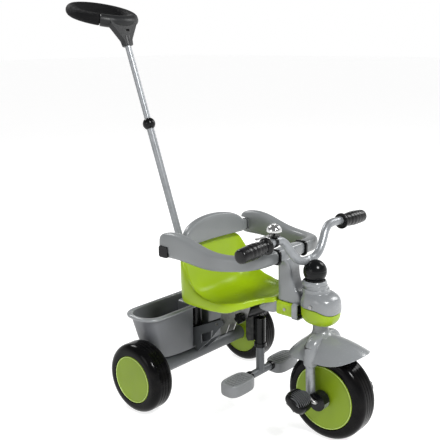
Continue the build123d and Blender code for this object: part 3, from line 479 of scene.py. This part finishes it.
def carve(piece, tools):
    """Cuts the tools out of the piece for good, and removes them."""
    for tool in tools:
        cut = piece.modifiers.new("cut", "BOOLEAN")
        cut.object = tool
        cut.operation = "DIFFERENCE"
        cut.solver = "EXACT"
    bpy.context.view_layer.update()
    seen = piece.evaluated_get(bpy.context.evaluated_depsgraph_get())
    carved = bpy.data.meshes.new_from_object(seen)
    piece.modifiers.clear()
    piece.data = carved
    for tool in tools:
        bpy.data.objects.remove(tool)


for side, word in ((1, "left"), (-1, "right")):
    rings = []
    for centre, heading, width, height in rail:
        ahead = Vector((-side * heading[0], heading[1], 0)).normalized()
        place = mm(side * centre[0], centre[1], centre[2])
        rings.append(oval(place, ahead.cross(UP), UP, width, height, 3.0, 28))
    arm_mesh = skin("arm_rail_" + word, rings)
    arm = show("arm_rail_" + word, arm_mesh, "arm_" + word + "_body", "arm_grey", ["arm_" + word])
    slot_tool = cutter("slot_tool", skin("slot_tool", [
        [mm(side * x, y, z) for y, z in ((375.4, 425.6), (440, 425.6), (440, 456.4), (375.4, 456.4))]
        for x in (hinge_x - 45, hinge_x + 9)]))
    barrel_tool = cutter("barrel_tool", skin("barrel_tool", turned(
        mm(side * hinge_x, stub_y, 425.6), UP, [(0, 11.4), (30.8, 11.4)], 24)))
    pocket_tool = cutter("pocket_tool", skin("pocket_tool", [
        [mm(side * x, y, z) for y, z in ((371.7, 413.7), (402.3, 413.7), (402.3, 442.3), (371.7, 442.3))]
        for x in (hinge_x + 13, hinge_x + 34)]))
    carve(arm, [slot_tool, barrel_tool, pocket_tool])

# %% [markdown]
# The hood over the steering head is one glossy dome, egg-shaped from above, that steps up through
# two round collars to the ball. Pairs of close rings make the steps.

# %% Hood and chin cover
hood_low, hood_high = span("hood")
hood_mid_y = (hood_low.y + hood_high.y) / 2
hood_half_y = (hood_high.y - hood_low.y) / 2
collar_y = 50
hood_stack = [
    (hood_low.z + 0.4, 40, hood_mid_y, hood_half_y - 3, 2.5),
    (hood_low.z + 0.5, 42.6, hood_mid_y, hood_half_y, 2.5),
    (hood_low.z + 5, 43, hood_mid_y, hood_half_y, 2.5), (335, 42.6, hood_mid_y, hood_half_y - 0.5, 2.5),
    (345, 41, hood_mid_y + 0.5, hood_half_y - 3, 2.4), (352, 37.5, hood_mid_y + 4, hood_half_y - 9, 2.3),
    (356, 34.5, collar_y - 4, 36, 2.1), (356.6, 33.2, collar_y - 1, 33.2, 2), (357.4, 33, collar_y, 33, 2),
    (364.5, 32.6, collar_y, 32.6, 2), (365.4, 31.6, collar_y, 31.6, 2), (365.8, 28.8, collar_y, 28.8, 2),
    (366.6, 28.4, collar_y, 28.4, 2), (373.2, 28, collar_y, 28, 2), (374.2, 27, collar_y, 27, 2),
    (374.3, 26, collar_y, 26, 2), (373.0, 25.6, collar_y, 25.6, 2), (372.6, 12, collar_y + 1, 12, 2),
]


def border(ring, share):
    """Bends a ring of the hood's lower edge: up at the sides and back, down in a tongue at the front."""
    bent = []
    for point in ring:
        front = between([(-13, 1), (26, 0)], (point.y - axle_y) * 1000)
        bent.append(point + UP * share * (5 - 11 * front) / 1000)
    return bent


hood_rings = [oval(mm(0, y, z), EAST, NORTH, 2 * half, 2 * half_y, power, 48)
              for z, half, y, half_y, power in hood_stack]
hood_rings = [border(ring, share) for ring, share in zip(hood_rings, (1, 1, 0.9, 0.35))] + hood_rings[4:]
show("hood_shell", skin("hood_shell", hood_rings, close_ends=False), "frame", "grey_plastic", ["hood"])
chin_low, chin_high = span("chin_cover")
chin_mid_y = (chin_low.y + chin_high.y) / 2
chin_half_y = (chin_high.y - chin_low.y) / 2
chin_stack = [
    (chin_high.z - 0.6, 38, chin_half_y - 4), (chin_high.z - 0.5, 41, chin_half_y),
    (chin_high.z - 3, 41.2, chin_half_y),
    (300, 40.6, chin_half_y - 0.6), (292, 38, chin_half_y - 3), (285, 33, chin_half_y - 8),
    (280.6, 27, chin_half_y - 14), (279.2, 21, chin_half_y - 20), (279.0, 18.2, 18.2), (281, 17.8, 17.8),
]
chin_rings = []
for z, half, half_y in chin_stack:
    shift = 0 if half_y > 20 else 36.5 - chin_mid_y
    chin_rings.append(oval(mm(0, chin_mid_y + shift, z), EAST, NORTH, 2 * half, 2 * half_y, 2.5, 48))
chin_rings = [border(ring, share) for ring, share in zip(chin_rings, (1, 1, 0.9, 0.3))] + chin_rings[4:]
show("chin_shell", skin("chin_shell", chin_rings, close_ends=False), "frame", "body_green", ["chin_cover"])

# %% [markdown]
# The front post rises from a foot that hugs the hood, and spreads into a bar for the arm clasps.
# It is a stack of rounded rectangles: the front edge moves back over the first rings, which gives
# the hollow curve of the foot, and the width swells again under the bar.

# %% Front post and wedge cover
post_low = span("front_post")[0]
post_back = 150
post_stack = [
    (post_low.z + 0.3, 21.5, post_low.y + 1, post_back), (post_low.z + 1, 22, post_low.y + 0.2, post_back),
    (330, 22, post_low.y + 0.2, post_back), (342, 22, post_low.y + 1.5, post_back), (351, 22, 93, post_back),
    (362, 22, 101.5, post_back), (376, 22, 107.5, post_back), (392, 22, 110, post_back),
    (405, 22.5, 111, post_back), (415, 25.5, 113, post_back), (423, 32, 116, post_back),
    (428, 38, 118.5, post_back - 1)]
post = [oval(mm(0, (front + rear) / 2, z), EAST, NORTH, 2 * half, rear - front, 5.5, 32)
        for z, half, front, rear in post_stack]
show("post_column", skin("post_column", post), "frame", "grey_plastic", ["front_post"])
bar = [oval(mm(x, 133.5, 437), NORTH, UP, wide, tall, 3.4, 28)
       for x, wide, tall in ((-49.8, 24, 27), (-49.6, 27, 31), (-30, 29, 33), (-12, 32, 35),
                             (12, 32, 35), (30, 29, 33), (49.6, 27, 31), (49.8, 24, 27))]
show("post_bar", skin("post_bar", bar), "frame", "grey_plastic")
wedge_side = [(146.6, 283), (146.6, 298), (146.6, 313), (158, 312), (180, 302), (204, 291), (205, 284),
              (190, 279), (168, 281)]
wedge = [[mm(x, 172 + (y - 172) * share, 296 + (z - 296) * share) for y, z in wedge_side]
         for x, share in ((-26, 0.9), (-25.4, 0.99), (-24, 1), (24, 1), (25.4, 0.99), (26, 0.9))]
show("wedge_cover", skin("wedge_cover", wedge), "frame", "grey_plastic", ["beam_shroud"], smooth=1)

# %% [markdown]
# The handlebar is one steel tube bent in a wide, soft U. A curve through a few chosen points,
# rounded by Catmull and Rom's rule, gives the line, and rings set square to it give the tube.

# %% Handlebar
def smooth_line(points, steps):
    """Points on a Catmull-Rom curve through the given points."""
    ends = [points[0] * 2 - points[1]] + points + [points[-1] * 2 - points[-2]]
    line = []
    for a, b, c, d in zip(ends, ends[1:], ends[2:], ends[3:]):
        for i in range(steps):
            t = i / steps
            squared = (2 * a - 5 * b + 4 * c - d) * t * t
            cubed = (3 * b - a - 3 * c + d) * t ** 3
            line.append(0.5 * (2 * b + (c - a) * t + squared + cubed))
    return line + [points[-1]]


def tube(points, radius, steps=6, count=20):
    """Rings of a round tube along a smooth line that stays near one plane."""
    line = smooth_line(points, steps)
    rings = []
    for i, point in enumerate(line):
        ahead = (line[min(i + 1, len(line) - 1)] - line[max(i - 1, 0)]).normalized()
        side = ahead.cross(NORTH).normalized()
        rings.append(oval(point, side, ahead.cross(side), 2 * radius, 2 * radius, 2.0, count))
    return rings


bar_high = span("handlebar")[1]
half_line = [(18, 73, 430), (38, 73.5, 436.5), (54, 75.5, 449), (67, 78, 465.5), (79, 81, 481.5),
             (94, 83.4, 492.5),
             (112, 83.9, 496.3), (135, 83.2, 495.8), (180, 81.4, 493.6), (bar_high.x - 1, 79, 490.2)]
left_line = [mm(*point) for point in half_line]
right_line = [mm(-x, y, z) for x, y, z in reversed(half_line)]
bar_mesh = skin("handlebar_tube", tube(right_line + left_line, 10.2))
show("handlebar_tube", bar_mesh, "steering", "silver_paint", ["handlebar"], 1)
stem_foot = mm(0, 56, 402)
stem_profile = [(0, 12), (20, 12), (30, 13.6), (40, 13.6), (41, 12)]
stem = turned(stem_foot, mm(0, 74, 430) - stem_foot, stem_profile, 24)
show("handlebar_stem", skin("handlebar_stem", stem), "steering", "silver_paint")

# %% [markdown]
# A pedal is a rounded rubber-faced block on a pin, with bowed ribs on its tread faces. It is built
# flat about its own pin, then tipped forward.

# %% Pedals
pedal_tip = 34
for word, side in (("left", 1), ("right", -1)):
    joint = next(j for j in frame["joints"] if j["name"] == "pedal_" + word + "_spin")
    pin = Vector(joint["pos_m"])
    low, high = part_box("pedal_" + word)
    middle_x = (low.x + high.x) / 2
    wide = (high.x - low.x) * 1000
    tip = Matrix.Rotation(math.radians(pedal_tip), 3, "X")

    def placed(ring):
        return [Vector((middle_x, pin.y, pin.z)) + tip @ point for point in ring]

    block = [(-11.6, 16), (-11.2, 6), (-9, 2), (-5, 0.4), (0, 0), (5, 0.4), (9, 2), (11.2, 6), (11.6, 16)]
    rings = [placed(oval(UP * (z / 1000), EAST, NORTH, wide - 2 * inset, 60 - 2 * inset, 2.9, 36))
             for z, inset in block]
    body = "pedal_" + word + "_body"
    show("pedal_block_" + word, skin("pedal_block_" + word, rings), body, "black_plastic", ["pedal_" + word])
    for face in (1, -1):
        for i in range(-4, 5):
            run = 0.0215 * (1 - (abs(i) / 5.6) ** 3)
            rib = []
            for k in range(-4, 5):
                bow = 0.004 * (1 - (k / 4) ** 2)
                top = face * (0.0122 - 0.0012 * (k / 4) ** 2)
                centre = Vector((i * wide / 9600 - side * bow, run * k / 4, top))
                fat, tall = (3.4, 4.4) if abs(k) < 4 else (1.4, 1.4)
                rib.append(placed(oval(centre, EAST, UP * face, fat, tall, 2.4, 10)))
            name = f"pedal_rib_{word}_{'top' if face > 0 else 'under'}_{i + 4}"
            # Each rib is a lighter grey than the block: a painted highlight along the rib.
            show(name, skin("pedal_rib", rib), body, "black_plastic", smooth=1, finish="tread_painted_highlight")

# %% [markdown]
# Each wheel cover gets a fine raised bead round its edge, in a pale green that is a painted highlight where the
# edge catches the light.

# %% Wheel beads, pale as a painted highlight
for node, body in (("front_disc_left", "front_wheel"), ("front_disc_right", "front_wheel"),
                   ("rear_disc_left", "rear_wheel_left"), ("rear_disc_right", "rear_wheel_right")):
    low, high = span(node)
    side = 1 if node.endswith("left") else -1
    face_x = high.x if side > 0 else low.x
    edge = (high.z - low.z) / 2
    hub = mm(face_x, (low.y + high.y) / 2, (low.z + high.z) / 2)
    highlight_profile = [(-2.4, edge - 3), (0.2, edge - 2.7), (0.5, edge - 1.9), (0.2, edge - 1.1), (-2.4, edge - 0.8)]
    highlight_skin = skin("edge_highlight_bead", turned(hub, EAST * side, highlight_profile, 72), close_ends=False)
    # The bead's pale green is a painted highlight on the cover's edge.
    show("edge_bead_" + node, highlight_skin, body, "wheel_green", finish="bead_painted_highlight")

# %% [markdown]
# The front fender is a peaked cap: a ridge along the middle, sides that roll down over the wheel,
# a pointed bill in front and two sleeves that hide the tops of the fork legs. A sheet of points
# over the ridge line gives the cap, and a thin wall is added behind it.

# %% Front fender
fender_low, fender_high = span("front_fender")
leg_x = sum(corner.x for corner in span("fork_leg_left")) / 2


def fender_point(along, across):
    """A point of the cap: along runs from -1 at the bill to 1 at the back, across from -1 to 1."""
    half_length = (fender_high.y - fender_low.y) / 2
    y = fender_low.y + half_length + half_length * along
    half = (fender_high.x - 1) * max(0.0, 1 - abs(along) ** 3.6) ** 0.5
    reach = 110 if y < 18 else 93
    ridge = 256 - (24 if y < 18 else 58) * (abs(y - 18) / reach) ** 2.1
    fall = 52 * max(0.0, 1 - (abs(y - 20) / (113 if y < 20 else 92)) ** 2.6) ** 1.2
    return mm(half * across, y, ridge - fall * abs(across) ** 2.3)


cap_rows = []
for i in range(29):
    along = math.sin(math.pi / 2 * (i - 14) / 14) * 0.999
    cap_rows.append([fender_point(along, math.sin(math.pi / 2 * (j - 9) / 9)) for j in range(19)])
cap_mesh = skin("fender_cap", cap_rows, loop=False)
cap = show("fender_cap", cap_mesh, "steering", "grey_plastic", ["front_fender"])
wall = cap.modifiers.new("wall", "SOLIDIFY")
wall.thickness = 0.0025
wall.offset = -1
for side, word in ((1, "left"), (-1, "right")):
    ridge = []
    for x, y, z, across, wide, deep in (
            (leg_x, 25.6, fender_low.z + 0.5, 1, 27, 27), (leg_x, 25.6, fender_low.z + 0.6, 1, 32.5, 32.5),
            (leg_x, 25.7, fender_low.z + 18, 1, 33.5, 33.5), (leg_x - 1, 25.8, 224, 0.9, 33, 33),
            (leg_x - 6, 26, 238, 0.65, 30, 32), (leg_x - 15, 26.5, 247, 0.3, 24, 31),
            (14, 27, 253, 0.1, 18, 28), (6, 27, 254, 0, 14, 24)):
        outward = Vector((side * across, 0, 1 - across)).normalized()
        ridge.append(oval(mm(side * x, y, z), outward, NORTH, wide, deep, 2.2))
    show("leg_ridge_" + word, skin("leg_ridge_" + word, ridge), "steering", "grey_plastic")
turn_axis = Vector((0, math.sin(math.radians(8)), math.cos(math.radians(8))))
neck_profile = [(0, 36), (3, 31), (7, 25), (12, 21), (18, 19), (26, 18.4), (30, 18.2), (30.6, 17)]
neck = turned(mm(0, 31.8, 247), turn_axis, neck_profile, 40)
show("fender_neck", skin("fender_neck", neck), "steering", "grey_plastic")

# %% [markdown]
# The rear basket is a tapered tub with a rolled rim and a bay in its front wall for the push bar.
# Each ring is the same walk round the tub, so the bay stays put while the walls lean out.

# %% Basket
basket_low, basket_high = span("basket")
tub_front = basket_low.y + 6
bay_half = 29.5
bay_back = tub_front + 56


def tub_ring(half, depth, corner, z, inset=0.0, lift=0.0):
    """A rounded rectangle with the bay let into its front side."""
    half -= inset
    front = tub_front + inset
    back = tub_front + depth - inset
    bay = bay_half + inset
    deep = bay_back + inset
    path = [(0, deep), (bay * 0.6, deep), (bay - 2, deep), (bay, deep - 2), (bay, deep - 25),
            (bay, front + 8), (bay, front + 3), (bay + 2.5, front)]
    path += [(bay + (half - corner - bay) * i / 4, front) for i in (1, 2, 3, 4)]
    path += [(half - corner + corner * math.sin(a), front + corner - corner * math.cos(a))
             for a in (math.pi * i / 12 for i in range(1, 7))]
    path += [(half - corner + corner * math.cos(a), back - corner + corner * math.sin(a))
             for a in (math.pi * i / 12 for i in range(0, 7))]
    path += [((half - corner) * (1 - i / 5), back) for i in (1, 2, 3, 4, 5)]
    path += [(-x, y) for x, y in reversed(path[1:-1])]
    return [mm(x, y, z + lift * (x / half) ** 4) for x, y in path]


tub_half = basket_high.x - 7
tub_depth = basket_high.y - basket_low.y - 12
tub_floor = basket_low.z
rim_z = basket_high.z
taper = 34
tub = []
for share in (0.0, 0.02, 0.3, 0.6, 0.88):
    tub.append(tub_ring(tub_half - taper * (1 - share), tub_depth - 14 * (1 - share), 26 + 14 * share,
                        tub_floor + (rim_z - 9 - tub_floor) * share, 3 if share == 0 else 0, 9 * (1 - share)))
tub += [tub_ring(tub_half, tub_depth, 40, rim_z - 9), tub_ring(tub_half, tub_depth, 40, rim_z - 2, -0.5),
        tub_ring(tub_half, tub_depth, 40, rim_z - 1, 1), tub_ring(tub_half, tub_depth, 40, rim_z - 2, 2.6)]
for share in (0.9, 0.6, 0.3, 0.06):
    tub.append(tub_ring(tub_half - taper * (1 - share), tub_depth - 14 * (1 - share), 24 + 14 * share,
                        tub_floor + (rim_z - tub_floor) * share, 3, 9 * (1 - share)))
tub.append(tub_ring(tub_half - taper, tub_depth - 14, 22, tub_floor + 3, 8))
tub_mesh = skin("basket_tub", tub, close_ends=False)
shape = bmesh.new()
shape.from_mesh(tub_mesh)
count = len(tub[0])
shape.verts.ensure_lookup_table()
for start in (0, (len(tub) - 1) * count):
    ring = [shape.verts[start + i] for i in range(count)]
    half_ring = count // 2
    for i in range(half_ring - 1):
        corners = [ring[i], ring[i + 1], ring[(count - i - 1) % count], ring[(count - i) % count]]
        if len(set(corners)) == 4:
            shape.faces.new(corners)
        elif len(set(corners)) == 3:
            shape.faces.new(list(dict.fromkeys(corners)))
bmesh.ops.recalc_face_normals(shape, faces=shape.faces)
shape.to_mesh(tub_mesh)
shape.free()
show("basket_tub", tub_mesh, "frame", "basket_grey", ["basket"])
# The rolled rim is a piece of its own in the lighter cover grey, a painted highlight along the rim.
rim = [tub_ring(tub_half, tub_depth, 42, rim_z + z, inset) for z, inset in (
    (-8, -1), (-9, -5), (-8, -7.6), (-5, -8.8), (-2, -8.4), (0, -6.6), (0.8, -4), (0.6, -0.5),
    (-0.5, 2.4), (-3, 3.2))]
show("basket_rim", skin("basket_rim", rim, close_ends=False), "frame", "grey_plastic")

# %% [markdown]
# Hand grips are soft rubber: a flange to stop the thumb, a waist, a fuller barrel with shallow
# finger rings, and a domed end. They are turned about the line of the bar.

# %% Grips
for word in ("left", "right"):
    low, high = span("grip_" + word)
    side = 1 if word == "left" else -1
    inner_x = low.x if side > 0 else high.x
    outer_x = high.x if side > 0 else low.x
    rise = 2.75
    start = mm(inner_x + side * 1, 79.9 + 1.6, 490 + rise * 1.25)
    end = mm(outer_x, 79, 490)
    length = (end - start).length * 1000
    shape_line = [(0, 12), (0, 19.4), (0.8, 20), (5.4, 20), (6.2, 19.2), (7.5, 15), (11, 13.8)]
    for i in range(5):
        middle = 17 + i * (length - 36) / 5
        swell = 14.2 + 4.0 * math.sin(math.pi * (i + 0.7) / 6.5)
        shape_line += [(middle, swell - 0.3), (middle + 3, swell + 0.25), (middle + 8, swell + 0.35),
                       (middle + 10.6, swell)]
    shape_line += [(length - 10, 17.0), (length - 4, 16.2), (length - 1.2, 13.5), (length - 0.2, 9),
                   (length, 3)]
    rings = turned(start, end - start, shape_line, 32)
    grip_mesh = skin("grip_cover_" + word, rings)
    show("grip_cover_" + word, grip_mesh, "steering", "grip_rubber", ["grip_" + word])

# %% [markdown]
# The black ball hides the joint of stem and bar. It is a sphere with a short skirt, a fine seam
# below its middle, and a grey neck ring of the hood that its skirt turns in.

# %% Steering ball
ball_low, ball_high = span("steering_ball")
ball_radius = ball_high.x
ball_z = ball_high.z - ball_radius
ball_y = 53.6
profile = [(ball_low.z, 20), (ball_low.z, 23), (ball_low.z + 9, 22.4), (ball_low.z + 10, 21.6)]
for i in range(1, 17):
    angle = math.radians(-44 + i * 134 / 16)
    radius = ball_radius * math.cos(angle)
    height = ball_z + ball_radius * math.sin(angle)
    if i == 6:
        profile += [(height - 1.4, radius + 0.02), (height - 0.5, radius - 0.5), (height + 0.5, radius - 0.5),
                    (height + 1.4, radius + 0.02)]
    else:
        profile.append((height, max(0.4, radius)))
ball_rings = turned(mm(0, ball_y, 0), UP, profile, 40)
show("ball_cover", skin("ball_cover", ball_rings), "steering", "black_plastic", ["steering_ball"])

neck_ring = [(372, 29), (374, 30.6), (379, 30), (382.5, 28), (383.6, 26), (383, 25), (372, 24.8)]
neck_skin = skin("hood_neck", turned(mm(0, ball_y + 0.8, 0), UP, neck_ring, 40), close_ends=False)
show("hood_neck", neck_skin, "frame", "grey_plastic")

# %% [markdown]
# The ring that the parent holds has a thick foam sleeve. Foam is soft, so the sleeve is squeezed
# a little where it meets the yoke at both ends.

# %% Foam ring
def foam_frame():
    joint = next(j for j in frame["joints"] if j["name"] == "push_bar_telescope")
    low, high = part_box("handle_foam")
    tilt = math.radians(15)
    plane_up = Vector((0, -math.sin(tilt), math.cos(tilt)))
    plane_back = Vector((0, math.cos(tilt), math.sin(tilt)))
    radius = (high.x - low.x) / 2 - 0.016
    rear = high.y - 0.016
    centre = Vector((0, rear - radius * math.cos(tilt), high.z - 0.016 - radius * math.sin(tilt)))
    return joint["child"], centre, plane_up, plane_back, radius


ring_body, ring_centre, ring_up, ring_back, ring_radius = foam_frame()
foam_rings = []
steps = 72
for i in range(steps + 1):
    angle = math.radians(-90 + 42.4 + (360 - 84.8) * i / steps)
    out = EAST * math.cos(angle) + ring_back * math.sin(angle)
    end_share = min(i, steps - i)
    fat = 30.6 if end_share == 0 else 31.8
    foam_rings.append(oval(ring_centre + out * ring_radius, out, ring_up, fat, fat, 2.0, 24))
show("foam_sleeve", skin("foam_sleeve", foam_rings), ring_body, "foam_black", ["handle_foam"])

# %% [markdown]
# The fold-down foot pads are blocks with a raised edge and rows of ribs, so that a small shoe
# doesn't slip. The outline is a long oval; rings step in to the top and the ribs are laid on it.

# %% Foot pads
for word in ("left", "right"):
    low, high = span("foot_pad_" + word)
    middle = (low + high) / 2
    wide = high.x - low.x
    deep = high.y - low.y
    pad_stack = [(low.z, 16), (low.z + 0.3, 5), (low.z + 3, 1.2), (low.z + 8, 0), (high.z - 6, 0),
                 (high.z - 2.2, 1), (high.z - 0.4, 3.2), (high.z - 0.2, 5.4), (high.z - 2.0, 6.4),
                 (high.z - 2.2, 9), (high.z - 2.2, 20)]
    pad_rings = [oval(mm(middle.x, middle.y, z), EAST, NORTH, wide - 2 * inset, deep - 2 * inset, 3.2, 40)
                 for z, inset in pad_stack]
    body = "foot_pad_" + word + "_body"
    show("pad_block_" + word, skin("pad_block_" + word, pad_rings), body, "pad_grey", ["foot_pad_" + word])
    for i in range(-3, 4):
        run = (deep - 20) * (1 - (i / 4.6) ** 4)
        rib = [oval(mm(middle.x + i * 10, middle.y, z), EAST, NORTH, w, run - s, 2.6, 16)
               for z, w, s in ((high.z - 3, 4.4, 0), (high.z - 0.9, 4.0, 0.6), (high.z - 0.3, 2.6, 2))]
        show(f"pad_rib_{word}_{i + 3}", skin("pad_rib", rib), body, "pad_grey", smooth=1)

# %% [markdown]
# The set stands on a plain pale floor that glows a little, in soft light: a broad key lamp high in
# front, fainter ones at both sides and behind, and a surround that is bright low down and dim
# above, as in a product studio.

# %% Floor, light and camera
def floor():
    shape = bmesh.new()
    bmesh.ops.create_grid(shape, x_segments=2, y_segments=2, size=30)
    mesh = bpy.data.meshes.new("studio_floor")
    shape.to_mesh(mesh)
    shape.free()
    ground = bpy.data.objects.new("studio_floor", mesh)
    bpy.context.scene.collection.objects.link(ground)
    paint, sheet, place = finish_start("studio_paint")
    shade = noise(sheet, place, 1.5, 2).blend(colour(188, 188, 188), colour(192, 192, 192))
    finish_end(sheet, sheet.node("BsdfPrincipled", {}, {
        "Base Color": shade, "Roughness": 0.75, "Emission Color": (1, 1, 1, 1), "Emission Strength": 0.8}))
    mesh.materials.append(paint)


def lamp(name, place, aim, size, power):
    light = bpy.data.lights.new(name, "AREA")
    light.shape = "DISK"
    light.size = size
    light.energy = power
    holder = bpy.data.objects.new(name, light)
    bpy.context.scene.collection.objects.link(holder)
    holder.location = place
    holder.rotation_euler = (Vector(place) - Vector(aim)).to_track_quat("Z", "Y").to_euler()


floor()
world = bpy.data.worlds.new("studio")
bpy.context.scene.world = world
world.use_nodes = True
sky = Wire(world.node_tree)
up = sky.node("SeparateXYZ", {}, {0: sky.node("TexCoord", output="Generated")}, 2)
wall = 1 - up.between(0.10, 0.42)
glow = world.node_tree.nodes["Background"]
glow.inputs["Color"].default_value = (1, 1, 1, 1)
world.node_tree.links.new((wall * 0.78 + 0.22).socket, glow.inputs["Strength"])
lamp("key", (-0.7, -2.6, 3.0), (0, 0, 0.4), 0.9, 125)
lamp("fill", (-2.8, 0.2, 1.4), (0, 0, 0.4), 1.2, 10)
lamp("side", (2.4, -1.0, 2.2), (0, 0, 0.4), 1.2, 30)
lamp("back", (0.2, 2.6, 2.8), (0, 0, 0.5), 1.2, 50)

# %% [markdown]
# The camera looks down a little on the right front corner, from about two metres. Its three
# directions are worked out from the angle round, the angle up and a very small tilt.

# %% Camera
turn, height, roll = math.radians(-47.9), math.radians(13.9), math.radians(-0.6)
back = Vector((math.sin(turn) * math.cos(height), -math.cos(turn) * math.cos(height), math.sin(height)))
right = Vector((math.cos(turn), math.sin(turn), 0))
top = back.cross(right)
level_right = right * math.cos(roll) + top * math.sin(roll)
level_top = top * math.cos(roll) - right * math.sin(roll)
lens = bpy.data.cameras.new("studio_camera")
lens.sensor_width = 36
lens.lens = 60.23
camera = bpy.data.objects.new("studio_camera", lens)
bpy.context.scene.collection.objects.link(camera)
facing = Matrix((level_right, level_top, back)).transposed().to_4x4()
camera.matrix_world = Matrix.Translation(mm(-1381, -893, 942)) @ facing
bpy.context.scene.camera = camera
bpy.context.scene.view_settings.view_transform = "Standard"
